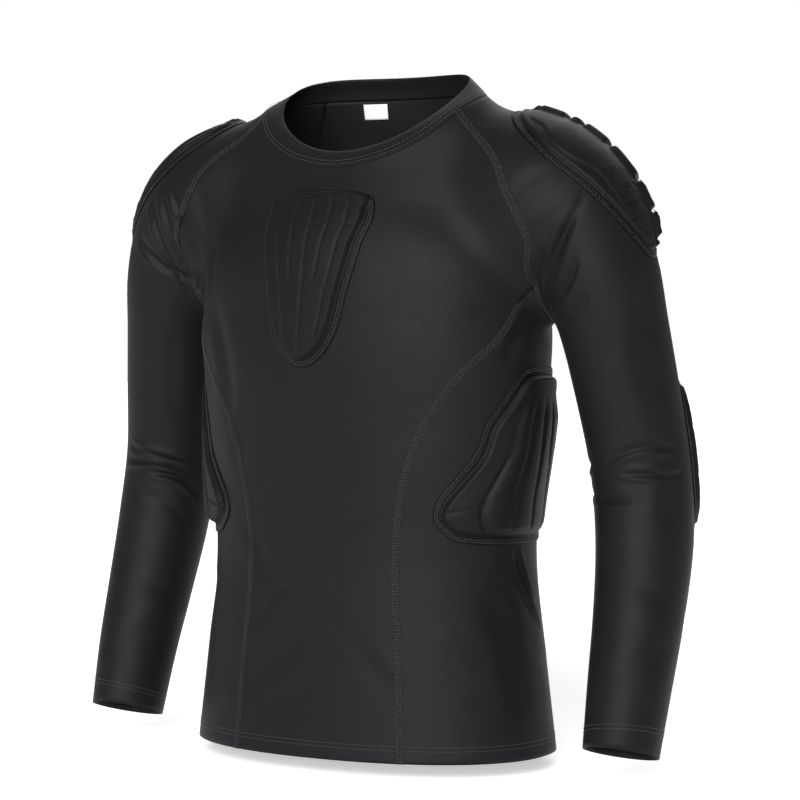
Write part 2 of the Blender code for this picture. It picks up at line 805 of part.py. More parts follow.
def add_label(material):
    """The size label, close inside the back panel below the neck band."""
    across = LABEL_CENTRE + LABEL_WIDTH * np.linspace(-0.5, 0.5, 5)
    height = LABEL_TOP - LABEL_HEIGHT * np.linspace(0, 1, 4)
    x, z = np.meshgrid(across, height)
    origin = np.stack([x, 0 * x, z], axis=-1)
    base = cast(origin, np.broadcast_to([0.0, 1.0, 0.0], origin.shape), *NECK_REACH)
    normals = outward(base)
    outer = base - normals * (CLOTH + PAD_LIFT)
    return add_solid("size_label", outer, outer - normals * LABEL_CLOTH, False, material)


def material_of(name, colour, roughness):
    material = bpy.data.materials.new(name)
    material.use_nodes = True
    shader = material.node_tree.nodes["Principled BSDF"]
    shader.inputs["Base Color"].default_value = colour
    shader.inputs["Roughness"].default_value = roughness
    shader.inputs["Metallic"].default_value = 0
    material.diffuse_color = colour
    return material


def clear_scene():
    for old in list(bpy.data.objects):
        bpy.data.objects.remove(old)


def main():
    clear_scene()
    jersey = material_of("jersey", CLOTH_COLOUR, 0.62)
    foam = material_of("pad_jersey", PAD_COLOUR, 0.55)
    tape = material_of("label_tape", LABEL_COLOUR, 0.7)
    add_panel("front_panel", front_grid(), False, ("top", "sides"), jersey)
    add_panel("back_panel", back_grid(), False, ("top", "sides"), jersey)
    side = side_grid()
    sleeve = sleeve_grid()
    for name, flip in (("left", False), ("right", True)):
        add_panel("side_panel_" + name, side, False, ("top", "sides"), jersey, flip=flip)
        add_panel("sleeve_" + name, sleeve, True, ("bottom",), jersey, flip=flip)
        shoulder = "shoulder_pad_" + name
        rib = "rib_pad_" + name
        elbow = "elbow_pad_" + name
        raised_pad(shoulder, SHOULDER_FORM, SHOULDER_PAD, arm_points, SHOULDER_CREST, foam, flip)
        raised_pad(rib, RIB_FORM, RIB_PAD, torso_points, RIB_CREST, foam, flip)
        raised_pad(elbow, ELBOW_FORM, ELBOW_PAD, arm_points, 0, foam, flip)
    raised_pad("chest_pad", CHEST_FORM, CHEST_PAD, chest_points, 0, foam)
    add_collar(collar_grid(), jersey)
    add_label(tape)


if __name__ == "__main__":
    main()
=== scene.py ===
from collections import namedtuple

import bpy
import numpy as np
from mathutils import Matrix, Vector, kdtree


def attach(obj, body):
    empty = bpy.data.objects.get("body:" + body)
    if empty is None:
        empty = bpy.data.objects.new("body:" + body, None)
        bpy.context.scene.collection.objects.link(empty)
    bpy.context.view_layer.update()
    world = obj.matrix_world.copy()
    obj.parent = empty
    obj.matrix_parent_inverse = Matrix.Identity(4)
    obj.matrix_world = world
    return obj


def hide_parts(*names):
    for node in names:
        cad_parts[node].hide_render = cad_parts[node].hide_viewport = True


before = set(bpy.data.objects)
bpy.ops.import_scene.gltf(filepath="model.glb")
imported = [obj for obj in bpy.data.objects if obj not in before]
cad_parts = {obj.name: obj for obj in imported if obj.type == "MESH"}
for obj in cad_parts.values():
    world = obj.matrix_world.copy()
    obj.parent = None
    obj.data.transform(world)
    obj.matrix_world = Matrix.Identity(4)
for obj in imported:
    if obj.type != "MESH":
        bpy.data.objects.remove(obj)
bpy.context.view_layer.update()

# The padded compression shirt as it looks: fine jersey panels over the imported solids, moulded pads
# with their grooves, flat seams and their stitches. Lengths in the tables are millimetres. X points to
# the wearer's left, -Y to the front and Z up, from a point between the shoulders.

MM = 0.001

# Cloth as it is made here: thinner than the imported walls, inside the same outer surface
JERSEY = 0.9
BAND_CLOTH = 1.7
PAD_LIFT = 0.35
LABEL_CLOTH = 0.35

# Steps along the coarse seams, and how many fine steps take the place of each one
SIDE_STEPS = 16
RAGLAN_STEPS = 8
PANEL_STEPS = 12
UNDERARM_STEPS = 8
NECK_STEPS = 4
SLEEVE_STEPS = 22
FINE = 7
SIDE_FINE = 12
SLEEVE_FINE = ((8, 13, 5))
PAD_STEPS = 112
ELBOW_PAD_STEPS = 60

Section = namedtuple("Section", "height half_width half_depth shift squareness")
TORSO = [
    Section(-545, 160, 103, 0, 2.2),
    Section(-460, 150, 97, 0, 2.2),
    Section(-385, 142, 93, 0, 2.2),
    Section(-280, 149, 97, 0, 2.2),
    Section(-190, 155, 99, 0, 2.2),
    Section(-125, 146, 93, 1, 2.1),
    Section(-85, 120, 78, 3, 2.0),
    Section(-60, 103, 67, 5, 2.0),
    Section(-30, 94, 62, 6, 2.0),
    Section(0, 88, 60, 6, 2.0),
    Section(30, 82, 56, 4, 2.0),
]

Station = namedtuple("Station", "out back up half_width half_depth")
SHOULDER = [
    Station(40, 8, -66, 60, 54),
    Station(95, 8, -70, 58, 53),
    Station(150, 7, -90, 54, 54),
]
SLEEVE = [
    Station(150, 7, -90, 52, 53),
    Station(183, 8, -112, 52, 53),
    Station(202, 12, -150, 47, 51),
    Station(211, 18, -190, 43, 48),
    Station(220, 26, -245, 41, 45),
    Station(228, 34, -305, 40, 43),
    Station(234, 29, -360, 39, 42),
    Station(237, 12, -420, 36, 39),
    Station(238, -7, -475, 33, 36),
    Station(238, -23, -528, 30, 33),
]
SHOULDER_BLEND = 34
UNDERARM_BLEND = 16
BLEND_WIDENS_FROM = -222
BLEND_WIDENS_OVER = 90

# The neck: the seam round it and the edge of its opening, with their heights at the front, side and back
NeckLoop = namedtuple("NeckLoop", "half_width half_depth shift front side back")
NECK_SEAM = NeckLoop(96, 67, 5, -64, -12, 1)
NECK_EDGE = NeckLoop(84, 57, 2, -50, 2, 18)
RAGLAN_NECK_FRONT = 68
RAGLAN_NECK_BACK = 128

HEM_HEIGHT = -540
GAP_BESIDE_ARM = 162
ARM_HEART_HEIGHT = -110
UNDERARM_FRONT = -24
UNDERARM_BACK = 38

# Seams on the torso: height, and the angle round from the centre front at which the seam lies
SeamPoint = namedtuple("SeamPoint", "height around")
RAGLAN_FRONT = [
    SeamPoint(-148, 77.5),
    SeamPoint(-116, 73),
    SeamPoint(-80, 70),
    SeamPoint(-45, 72),
]
RAGLAN_BACK = [
    SeamPoint(-146, 113),
    SeamPoint(-116, 115),
    SeamPoint(-80, 117),
    SeamPoint(-35, 122),
]
SIDE_FRONT = [
    SeamPoint(-540, 40),
    SeamPoint(-460, 40),
    SeamPoint(-385, 39),
    SeamPoint(-330, 41),
    SeamPoint(-275, 48),
    SeamPoint(-225, 62),
    SeamPoint(-180, 82),
]
SIDE_BACK = [
    SeamPoint(-540, 140),
    SeamPoint(-460, 140),
    SeamPoint(-385, 141),
    SeamPoint(-330, 139),
    SeamPoint(-275, 132),
    SeamPoint(-225, 120),
    SeamPoint(-180, 106),
]

# Pads: rows from the top to the bottom. On the chest left and right are distances across, on the ribs
# angles round the torso, and on the sleeves angles round the arm, where 0 is outward and 90 is to the back.
PadRow = namedtuple("PadRow", "along left right")
CHEST_PAD = [
    PadRow(-86, -45, 33),
    PadRow(-92, -53, 43),
    PadRow(-106, -55, 46),
    PadRow(-126, -53, 41),
    PadRow(-148, -48, 36),
    PadRow(-170, -45, 30),
    PadRow(-190, -42, 25),
    PadRow(-206, -38, 18),
    PadRow(-218, -29, 8),
    PadRow(-225, -17, -4),
]
SHOULDER_PAD = [
    PadRow(76, -12, 20),
    PadRow(82, -25, 33),
    PadRow(98, -40, 48),
    PadRow(118, -48, 57),
    PadRow(136, -50, 58),
    PadRow(152, -46, 54),
    PadRow(166, -38, 46),
    PadRow(179, -28, 36),
    PadRow(190, -17, 25),
    PadRow(198, -6, 14),
]
RIB_PAD = [
    PadRow(-226, 83, 101),
    PadRow(-231, 80, 104),
    PadRow(-248, 75, 109),
    PadRow(-270, 69, 115),
    PadRow(-292, 66, 118),
    PadRow(-312, 60, 124),
    PadRow(-331, 54, 129),
    PadRow(-347, 53, 130),
    PadRow(-358, 57, 126),
    PadRow(-364, 61, 121),
]
ELBOW_PAD = [
    PadRow(292, 44, 76),
    PadRow(298, 36, 84),
    PadRow(316, 24, 96),
    PadRow(350, 19, 101),
    PadRow(384, 24, 96),
    PadRow(400, 36, 84),
    PadRow(406, 44, 76),
]

# Sizes of the foam's relief. Places across a pad run from -1 to 1 between its sides, and places along it
# from -1 to 1 between its ends.
FLANGE_HEIGHT = 1.0
FLANGE_ROUND = 1.2
CHEST_FLANGE = 5.8
CHEST_FLANGE_WIDENS = 2.2
CHEST_TOP_FLANGE = 1.2
CHEST_DIP = 4.0
CHEST_GROOVE_WIDTH = 1.6
CHEST_GROOVE_DEPTH = 0.6
CHEST_HALF_LENGTH = 69
SHOULDER_HALF_LENGTH = 61
BLOCK_HEIGHT = 5.0
CUT_DEPTH = 4.4
RIB_HALF_LENGTH = 69
RIB_HEIGHT = 2.6
ELBOW_HALF_LENGTH = 57

# Grooves down the chest foam: where each lies across it, how far it draws in lower down, and the place
# along the pad where it ends
Groove = namedtuple("Groove", "place closes reach")
CHEST_GROOVES = [
    Groove(-0.62, 0.22, 1.2),
    Groove(-0.33, 0.1, 0.1),
    Groove(-0.02, 0, 1.2),
    Groove(0.29, 0.5, 0.1),
    Groove(0.58, 0.2, 0.8),
]

CHEST_CROSSINGS = (-0.64, -0.27, 0.08, 0.43, 0.72)

# Where the sloped strip in front of the shoulder blocks is widest
SCALLOPS = (-0.88, -0.5, 0.2, 0.82)

# Cuts between the blocks on the shoulders: place along the pad and half width in millimetres
Gap = namedtuple("Gap", "place width")
SHOULDER_CUTS = [
    Gap(-0.93, 3.0),
    Gap(-0.53, 2.6),
    Gap(-0.37, 2.6),
    Gap(-0.03, 2.4),
    Gap(0.29, 2.0),
    Gap(0.55, 2.0),
    Gap(0.83, 2.4),
]

# Soft grooves between the ribs and across the elbows: place, half width and depth in millimetres
PadGroove = namedtuple("PadGroove", "place width depth")
RIB_GROOVES = [
    PadGroove(-0.34, 2.6, 1.3),
    PadGroove(-0.08, 2.2, 2.0),
    PadGroove(0.18, 2.2, 2.2),
    PadGroove(0.44, 2.2, 2.2),
    PadGroove(0.68, 2.6, 2.2),
]
ELBOW_GROOVES = [PadGroove(-0.3, 2.0, 1.8), PadGroove(0.3, 2.0, 1.8)]

# The size label inside the back neck
LABEL_CENTRE = -35
LABEL_WIDTH = 21
LABEL_TOP = -3
LABEL_HEIGHT = 13

# How far from its starting point a ray looks for the cloth: from nearest to furthest
TORSO_REACH = (30, 230)
FRONT_REACH = (20, 150)
ARM_REACH = (4, 110)
HOLLOW_REACH = (0, 140)
NECK_REACH = (20, 120)
SLEEVE_EVENS_OUT = 0.45

# Creases in the cloth: from one place over another to a third, with the trough's width and depth and the
# height of the ridge beside it
Crease = namedtuple("Crease", "x0 y0 z0 x1 y1 z1 x2 y2 z2 width depth ridge")
SHOULDER_PLEATS = [
    Crease(-179, -43, -65, -158, -54, -102, -144, -43, -146, 2.6, 3.2, 2.2),
    Crease(-184, -44, -72, -174, -52, -107, -157, -29, -157, 2.8, 3.4, 2.2),
    Crease(-196, -42, -86, -186, -48, -118, -168, -25, -164, 2.8, 3.4, 2.2),
    Crease(-212, -39, -116, -184, -40, -144, -139, -48, -176, 3.0, 3.8, 2.2),
    Crease(-142, -55, -75, -131, -54, -114, -117, -68, -171, 6, 2.2, 0.8),
]
ELBOW_CREASES = [
    Crease(-190, 26, -317, -205, -1, -311, -247, -4, -299, 3.0, 3.4, 2.4),
    Crease(-223, -9, -307, -203, 1, -314, -192, 20, -320, 2.6, 1.4, 0.8),
    Crease(-253, 0, -312, -215, -6, -313, -193, 18, -325, 2.8, 2.6, 2.4),
    Crease(-224, -9, -322, -200, 6, -328, -194, 22, -347, 2.8, 3.0, 2.6),
    Crease(-245, -9, -340, -214, -6, -346, -199, 11, -364, 5, 1, 0.6),
    Crease(217, -8, -300, 246, -5, -288, 265, 21, -290, 2.8, 2.2, 1.7),
    Crease(268, 26, -310, 253, 0, -309, 231, -9, -309, 2.4, 2.4, 1.7),
    Crease(257, 3, -317, 244, -6, -317, 225, -9, -315, 2.2, 1.2, 1),
    Crease(204, 2, -331, 223, -9, -330, 240, -9, -332, 2.6, 2.2, 1.7),
    Crease(260, 8, -304, 263, 9, -326, 262, 1, -352, 7, 1.6, 0.6),
    Crease(196, 50, -300, 192, 28, -306, 198, 4, -300, 3.2, 2.2, 1.4),
    Crease(194, 44, -326, 191, 26, -324, 200, 6, -330, 3.4, 1.8, 1.2),
]
UNDERARM_CREASES = [
    Crease(205, -42, -107, 193, -45, -127, 167, -20, -169, 3, 7.0, 2.4),
    Crease(211, -32, -87, 199, -44, -122, 178, -30, -164, 2.6, 3.0, 1.6),
    Crease(176, -20, -178, 196, -37, -161, 207, -40, -139, 3, 4.6, 2.2),
    Crease(182, -45, -131, 168, -34, -151, 159, -18, -170, 4.4, 3.6, 1.2),
    Crease(215, -34, -172, 205, -34, -176, 186, -23, -191, 5, 1.6, 0.8),
    Crease(188, -39, -68, 174, -49, -76, 157, -55, -84, 6, 0.8, 0.7),
    Crease(200, -36, -78, 186, -49, -90, 164, -54, -104, 6, 0.9, 0.8),
    Crease(214, -31, -90, 195, -46, -105, 166, -47, -129, 6, 0.8, 0.7),
    Crease(137, -37, -32, 129, -43, -36, 123, -46, -42, 4, 1, 1),
    Crease(196, 56, -104, 186, 58, -136, 172, 34, -172, 4, 3.4, 1.4),
    Crease(206, 50, -128, 198, 52, -152, 184, 34, -184, 4, 2.4, 1.2),
    Crease(150, 62, -96, 158, 58, -128, 160, 36, -164, 6, 2, 0.8),
    Crease(-194, 57, -100, -184, 58, -134, -170, 34, -170, 4, 3.2, 1.4),
    Crease(-208, 48, -134, -198, 52, -158, -186, 34, -186, 4, 2.2, 1),
    Crease(-148, 63, -92, -156, 58, -124, -158, 36, -160, 6, 2, 0.8),
]
BODY_CREASES = [
    Crease(145, 7, -420, 142, -7, -393, 141, -16, -372, 2.8, 3.0, 2.6),
    Crease(145, 20, -441, 144, -7, -410, 139, -24, -385, 2.8, 2.4, 2.2),
    Crease(129, -45, -403, 142, -32, -443, 153, -18, -502, 12, 2.4, 0.6),
    Crease(144, 36, -474, 146, -17, -440, 137, -34, -411, 7, 1.2, 0.8),
    Crease(-138, 34, -378, -141, 14, -400, -144, -10, -424, 4, 2, 1.6),
    Crease(-128, -44, -398, -140, -30, -436, -150, -14, -490, 11, 2.2, 0.6),
    Crease(153, -18, -189, 148, -34, -207, 145, -40, -224, 7, 1.8, 0.6),
    Crease(155, -22, -168, 142, -44, -176, 122, -65, -179, 9, 1.6, 0.8),
    Crease(-63, -89, -445, -48, -90, -418, -26, -92, -400, 7, 1.2, 0.6),
    Crease(-62, -93, -494, -37, -95, -464, -4, -96, -446, 8, 1.3, 0.6),
    Crease(-69, -84, -352, -56, -87, -384, -31, -92, -412, 8, 1, 0.5),
    Crease(-117, -68, -171, -96, -82, -221, -92, -80, -279, 10, 2.4, 0.6),
    Crease(-50, -95, -228, -73, -88, -270, -82, -82, -311, 9, 1.2, 0.6),
    Crease(74, -89, -489, 52, -93, -468, 34, -94, -443, 9, 0.9, 0.5),
    Crease(-70, 90, -352, -10, 96, -372, 66, 90, -356, 9, 2, 0.9),
    Crease(-84, 84, -388, -24, 96, -402, 40, 95, -392, 8, 1.6, 0.8),
    Crease(92, 80, -396, 50, 92, -424, -6, 98, -432, 9, 1.4, 0.7),
    Crease(-104, 76, -214, -84, 86, -246, -64, 90, -290, 9, 1.8, 0.7),
    Crease(106, 76, -206, 88, 85, -242, 72, 88, -282, 9, 1.6, 0.7),
]
SLEEVE_CREASES = [
    Crease(213, -9, -379, 247, -19, -391, 269, -3, -410, 8, 1.2, 0.7),
    Crease(272, -1, -439, 258, -31, -455, 228, -40, -465, 9, 1.1, 0.6),
    Crease(-253, -18, -399, -218, -20, -415, -204, 17, -441, 8, 1, 0.5),
    Crease(-205, -6, -468, -220, -36, -466, -252, -41, -476, 9, 0.9, 0.5),
    Crease(249, 9, -148, 247, -9, -195, 252, -2, -250, 9, 1.2, 0.6),
    Crease(-183, -18, -197, -198, -15, -240, -192, 7, -284, 8, 1, 0.5),
    Crease(222, 60, -420, 246, 52, -432, 268, 24, -424, 8, 1.1, 0.6),
    Crease(-226, 58, -414, -250, 48, -428, -270, 20, -440, 8, 1.1, 0.6),
]
CREASE_PARTS = 12
CREASES = SHOULDER_PLEATS + ELBOW_CREASES + UNDERARM_CREASES + BODY_CREASES + SLEEVE_CREASES


def spline(at, knots, values):
    """A smooth curve through values at rising knots, read at the places in at."""
    at = np.clip(np.asarray(at, float), knots[0], knots[-1])
    knots = np.asarray(knots, float)
    values = np.asarray(values, float)
    slopes = np.gradient(values, knots)
    low = np.clip(np.searchsorted(knots, at, side="right") - 1, 0, len(knots) - 2)
    step = knots[low + 1] - knots[low]
    t = (at - knots[low]) / step
    rise = values[low + 1] - values[low]
    bend_low = slopes[low] * step - rise
    bend_high = rise - slopes[low + 1] * step
    return values[low] + rise * t + t * (1 - t) * (bend_low * (1 - t) + bend_high * t)


def column(rows, name):
    return [getattr(row, name) for row in rows]


def torso_distance(p):
    """About how far outside the torso each point is, from its sections."""
    heights = column(TORSO, "height")
    wide = spline(p[..., 2], heights, column(TORSO, "half_width"))
    deep = spline(p[..., 2], heights, column(TORSO, "half_depth"))
    shift = spline(p[..., 2], heights, column(TORSO, "shift"))
    power = spline(p[..., 2], heights, column(TORSO, "squareness"))
    x = np.abs(p[..., 0]) / wide + 1e-6
    y = np.abs(p[..., 1] - shift) / deep + 1e-6
    reach = (x**power + y**power) ** (1 / power)
    slope_x = (x / reach) ** (power - 1) / wide
    slope_y = (y / reach) ** (power - 1) / deep
    return (reach - 1) / np.hypot(slope_x, slope_y)


def tube_path(stations, samples):
    """Centres, directions and half sizes along a tube with these stations."""
    places = np.array([[row.out, row.back, row.up] for row in stations], float)
    lengths = np.linalg.norm(np.diff(places, axis=0), axis=1)
    knots = np.concatenate([[0], np.cumsum(lengths)])
    at = np.linspace(0, knots[-1], samples)
    centres = np.stack([spline(at, knots, places[:, i]) for i in range(3)], axis=-1)
    along = np.gradient(centres, axis=0)
    along /= np.linalg.norm(along, axis=1, keepdims=True)
    wide = spline(at, knots, column(stations, "half_width"))
    deep = spline(at, knots, column(stations, "half_depth"))
    return centres, along, wide, deep


def side_axes(along):
    """The front-to-back axis and the across axis of a tube, square to its direction."""
    deep_axis = np.array([0.0, 1.0, 0.0]) - along * along[..., 1:2]
    deep_axis /= np.linalg.norm(deep_axis, axis=-1, keepdims=True)
    return deep_axis, np.cross(deep_axis, along)


def tube_distance(p, path):
    """About how far outside an oval tube each point is. Past the tube's ends its section is rounded off."""
    centres, along, wide, deep = path
    flat = p.reshape(-1, 3).copy()
    flat[:, 0] = np.abs(flat[:, 0])
    squares = (flat**2).sum(1)[:, None] - 2 * flat @ centres.T + (centres**2).sum(1)
    near = squares.argmin(1)
    near = np.clip(near, 1, len(centres) - 2)
    start = centres[near - 1]
    chord = centres[near + 1] - start
    share = ((flat - start) * chord).sum(1) / (chord**2).sum(1)
    share = np.clip(share, 0, 1) * 2
    low = near - 1 + (share >= 1)
    part = (share - (share >= 1))[:, None]

    def between(values):
        return values[low] * (1 - part) + values[low + 1] * part

    centre = start + chord * share[:, None] / 2
    direction = between(along)
    direction /= np.linalg.norm(direction, axis=1, keepdims=True)
    deep_axis, wide_axis = side_axes(direction)
    half_wide = between(wide[:, None])[:, 0]
    half_deep = between(deep[:, None])[:, 0]
    away = flat - centre
    length = np.linalg.norm(away, axis=1) + 1e-6
    x = (away * wide_axis).sum(1)
    y = (away * deep_axis).sum(1)
    z = (away * direction).sum(1)
    ends = (half_wide + half_deep) / 2
    reach = np.sqrt((x / half_wide) ** 2 + (y / half_deep) ** 2 + (z / ends) ** 2) + 1e-6
    return (length * (1 - 1 / reach)).reshape(p.shape[:-1])


SHOULDER_PATH = tube_path(SHOULDER, 16)
SLEEVE_PATH = tube_path(SLEEVE, 60)


def blend(a, b, width):
    """The smaller of two distances, rounded where they cross."""
    share = np.clip(0.5 + (b - a) / (2 * width), 0, 1)
    return b + (a - b) * share - width * share * (1 - share)


def body_distance(p):
    """How far outside the filled-out shirt each point is."""
    torso = torso_distance(p)
    trunk = blend(torso, tube_distance(p, SHOULDER_PATH), SHOULDER_BLEND)
    arm = tube_distance(p, SLEEVE_PATH)
    lift = np.clip((p[..., 2] - BLEND_WIDENS_FROM) / BLEND_WIDENS_OVER, 0, 1)
    width = UNDERARM_BLEND + (SHOULDER_BLEND - UNDERARM_BLEND) * lift
    return blend(trunk, arm, width)


def slope_of(p):
    """The outward direction at each point, with its steepness."""
    step = 0.5
    slope = np.empty(p.shape)
    for axis in range(3):
        ahead = p.copy()
        behind = p.copy()
        ahead[..., axis] += step
        behind[..., axis] -= step
        slope[..., axis] = (body_distance(ahead) - body_distance(behind)) / (2 * step)
    return slope


def unit(vectors):
    return vectors / np.maximum(np.linalg.norm(vectors, axis=-1, keepdims=True), 1e-9)


def outward(p):
    return unit(slope_of(p))


def onto_body(p, rounds=6):
    """Each point moved to the nearest place on the filled-out shirt."""
    p = np.array(p, float)
    for _ in range(rounds):
        slope = slope_of(p)
        steep = np.maximum((slope**2).sum(-1, keepdims=True), 0.3)
        move = body_distance(p)[..., None] * slope / steep
        size = np.linalg.norm(move, axis=-1, keepdims=True)
        p -= move * np.minimum(1, 25 / np.maximum(size, 1e-6))
    return p


def cast(origin, direction, near, far):
    """Where each ray first leaves the shirt, looking between two distances from its origin."""
    low = np.full(origin.shape[:-1], float(near))
    high = np.full(origin.shape[:-1], float(far))
    found = np.zeros(origin.shape[:-1], bool)
    for distance in np.linspace(near, far, 33)[1:]:
        outside = body_distance(origin + direction * distance) > 0
        high = np.where(outside & ~found, distance, high)
        low = np.where(~outside & ~found, distance, low)
        found |= outside
    for _ in range(14):
        middle = (low + high) / 2
        outside = body_distance(origin + direction * middle[..., None]) > 0
        high = np.where(outside, middle, high)
        low = np.where(outside, low, middle)
    return origin + direction * low[..., None]


def torso_points(around, height):
    """Places on the torso, from the angle round it and the height."""
    around, height = np.broadcast_arrays(np.radians(around), np.asarray(height, float))
    direction = np.stack([np.sin(around), -np.cos(around), np.zeros(around.shape)], axis=-1)
    origin = np.stack([0 * height, 0 * height, height], axis=-1)
    return cast(origin, direction, *TORSO_REACH)


def chest_points(across, height):
    """Places on the front, straight behind a flat picture of it."""
    across, height = np.broadcast_arrays(np.asarray(across, float), np.asarray(height, float))
    origin = np.stack([across, 0 * height, height], axis=-1)
    return cast(origin, np.broadcast_to([0.0, -1.0, 0.0], origin.shape), *FRONT_REACH)


ARM = SHOULDER + SLEEVE[1:]
ARM_SAMPLES = 120
ARM_PATH = tube_path(ARM, ARM_SAMPLES)
ARM_LENGTH = np.linalg.norm(np.diff(ARM_PATH[0], axis=0), axis=1).sum()


def arm_frame(along):
    """The centre line of the arm at these lengths, with its upper or outer axis and its back axis."""
    at = np.linspace(0, ARM_LENGTH, ARM_SAMPLES)
    centre = np.stack([np.interp(along, at, ARM_PATH[0][:, i]) for i in range(3)], axis=-1)
    direction = np.stack([np.interp(along, at, ARM_PATH[1][:, i]) for i in range(3)], axis=-1)
    direction /= np.linalg.norm(direction, axis=-1, keepdims=True)
    back, inner = side_axes(direction)
    return centre, -inner, back


def arm_points(turn, along):
    """Places on the wearer's left shoulder and arm, from the angle round it and the length along it."""
    along, turn = np.broadcast_arrays(np.asarray(along, float), np.radians(turn))
    centre, outer, back = arm_frame(along)
    direction = outer * np.cos(turn)[..., None] + back * np.sin(turn)[..., None]
    return cast(centre, direction, *ARM_REACH)


def arm_place(p):
    """The length along the arm and the angle round it of places near it."""
    at = np.linspace(0, ARM_LENGTH, ARM_SAMPLES)
    away = np.linalg.norm(p[:, None] - ARM_PATH[0][None], axis=-1)
    along = at[away.argmin(1)]
    centre, outer, back = arm_frame(along)
    turn = np.arctan2(((p - centre) * back).sum(-1), ((p - centre) * outer).sum(-1))
    return along, np.degrees(turn) % 360


def neck_loop(loop, around):
    """A loop round the neck, at these angles from the centre front."""
    a = np.radians(around)
    swing = (loop.front - loop.back) / 2
    middle = ((loop.front + loop.back) / 2 + loop.side) / 2
    twist = ((loop.front + loop.back) / 2 - loop.side) / 2
    height = middle + swing * np.cos(a) + twist * np.cos(2 * a)
    return np.stack([loop.half_width * np.sin(a), loop.shift - loop.half_depth * np.cos(a), height], axis=-1)


def seam_rows(rows, steps):
    """Angles and heights at even steps up a seam."""
    heights = column(rows, "height")
    height = np.linspace(heights[0], heights[-1], steps + 1)
    return spline(height, heights, column(rows, "around")), height


def side_seam(rows):
    around, height = seam_rows(rows, SIDE_STEPS)
    return torso_points(around, height)


def raglan_seam(rows, neck_angle, corner):
    """A raglan seam on the wearer's left, from its corner under the arm up to the neck seam."""
    around, height = seam_rows(rows, RAGLAN_STEPS * 2)
    neck = onto_body(neck_loop(NECK_SEAM, np.array([neck_angle])))
    line = np.concatenate([corner[None], torso_points(around, height), neck])
    lengths = np.linalg.norm(np.diff(line, axis=0), axis=1)
    knots = np.concatenate([[0], np.cumsum(lengths)])
    at = np.linspace(0, knots[-1], RAGLAN_STEPS + 1)
    even = np.stack([np.interp(at, knots, line[:, i]) for i in range(3)], axis=-1)
    even[1:] = onto_body(even[1:])
    return even


def underarm_seam():
    """The seam under the arm, from the back raglan seam to the front one, between arm and side."""
    y = np.linspace(UNDERARM_BACK, UNDERARM_FRONT, UNDERARM_STEPS + 1)
    origin = np.stack([0 * y + GAP_BESIDE_ARM, y, 0 * y + ARM_HEART_HEIGHT], axis=-1)
    return cast(origin, np.broadcast_to([0.0, 0.0, -1.0], origin.shape), *HOLLOW_REACH)


def coons(bottom, top, left, right):
    """A grid filled in between its four edges. Rows run from the bottom to the top."""
    v = np.linspace(0, 1, len(left))[:, None, None]
    u = np.linspace(0, 1, len(bottom))[None, :, None]
    across = left[:, None] * (1 - u) + right[:, None] * u
    up = bottom[None] * (1 - v) + top[None] * v
    corners = (
        bottom[0] * (1 - u) * (1 - v) + bottom[-1] * u * (1 - v) + top[0] * (1 - u) * v + top[-1] * u * v
    )
    return across + up - corners


def settle(grid, closed=False, rounds=24):
    """The grid evened out over the shirt's surface, with its edges kept."""
    grid = grid.copy()
    for _ in range(rounds):
        if closed:
            sides = (np.roll(grid, 1, axis=1) + np.roll(grid, -1, axis=1))[1:-1]
            middle = (sides + grid[:-2] + grid[2:]) / 4
            grid[1:-1] = grid[1:-1] * 0.4 + middle * 0.6
        else:
            middle = (grid[1:-1, :-2] + grid[1:-1, 2:] + grid[:-2, 1:-1] + grid[2:, 1:-1]) / 4
            grid[1:-1, 1:-1] = grid[1:-1, 1:-1] * 0.4 + middle * 0.6
        inside = grid[1:-1] if closed else grid[1:-1, 1:-1]
        inside[...] = onto_body(inside, 2)
    return grid


def mirrored(points):
    return points * np.array([-1.0, 1.0, 1.0])


def flat_of(points):
    """The angle round the torso and the height of places on it. Angles past the back run on to 360."""
    around = np.degrees(np.arctan2(points[..., 0], -points[..., 1]))
    if np.abs(around).mean() > 100:
        around = around % 360
    return np.stack([around, points[..., 2]], axis=-1)


def body_panel(side_rows, raglan_rows, neck_from, neck_to, hem_from, hem_to):
    """The front or the back, from the hem to the neck. Its left and right edges are the same seams."""
    corner = underarm_seam()[-1 if neck_to < 90 else 0]
    side = side_seam(side_rows)
    raglan = raglan_seam(raglan_rows, neck_to if neck_to < 90 else neck_from, corner)
    edge = np.concatenate([side[:-1], raglan])
    hem = torso_points(np.linspace(hem_from, hem_to, PANEL_STEPS + 1), HEM_HEIGHT)
    neck = onto_body(neck_loop(NECK_SEAM, np.linspace(neck_from, neck_to, PANEL_STEPS + 1)))
    ends = (mirrored(edge), edge) if neck_to < 90 else (edge, mirrored(edge))
    hem[0], hem[-1] = ends[0][0], ends[1][0]
    neck[0], neck[-1] = ends[0][-1], ends[1][-1]
    lines = coons(flat_of(hem), flat_of(neck), flat_of(ends[0]), flat_of(ends[1]))
    grid = torso_points(lines[..., 0], lines[..., 1])
    grid[0], grid[-1], grid[:, 0], grid[:, -1] = hem, neck, ends[0], ends[1]
    return settle(grid)


def front_grid():
    edge = SIDE_FRONT[0].around
    return body_panel(SIDE_FRONT, RAGLAN_FRONT, -RAGLAN_NECK_FRONT, RAGLAN_NECK_FRONT, -edge, edge)


def back_grid():
    edge = SIDE_BACK[0].around
    neck = RAGLAN_NECK_BACK
    return body_panel(SIDE_BACK, RAGLAN_BACK, neck, 360 - neck, edge, 360 - edge)


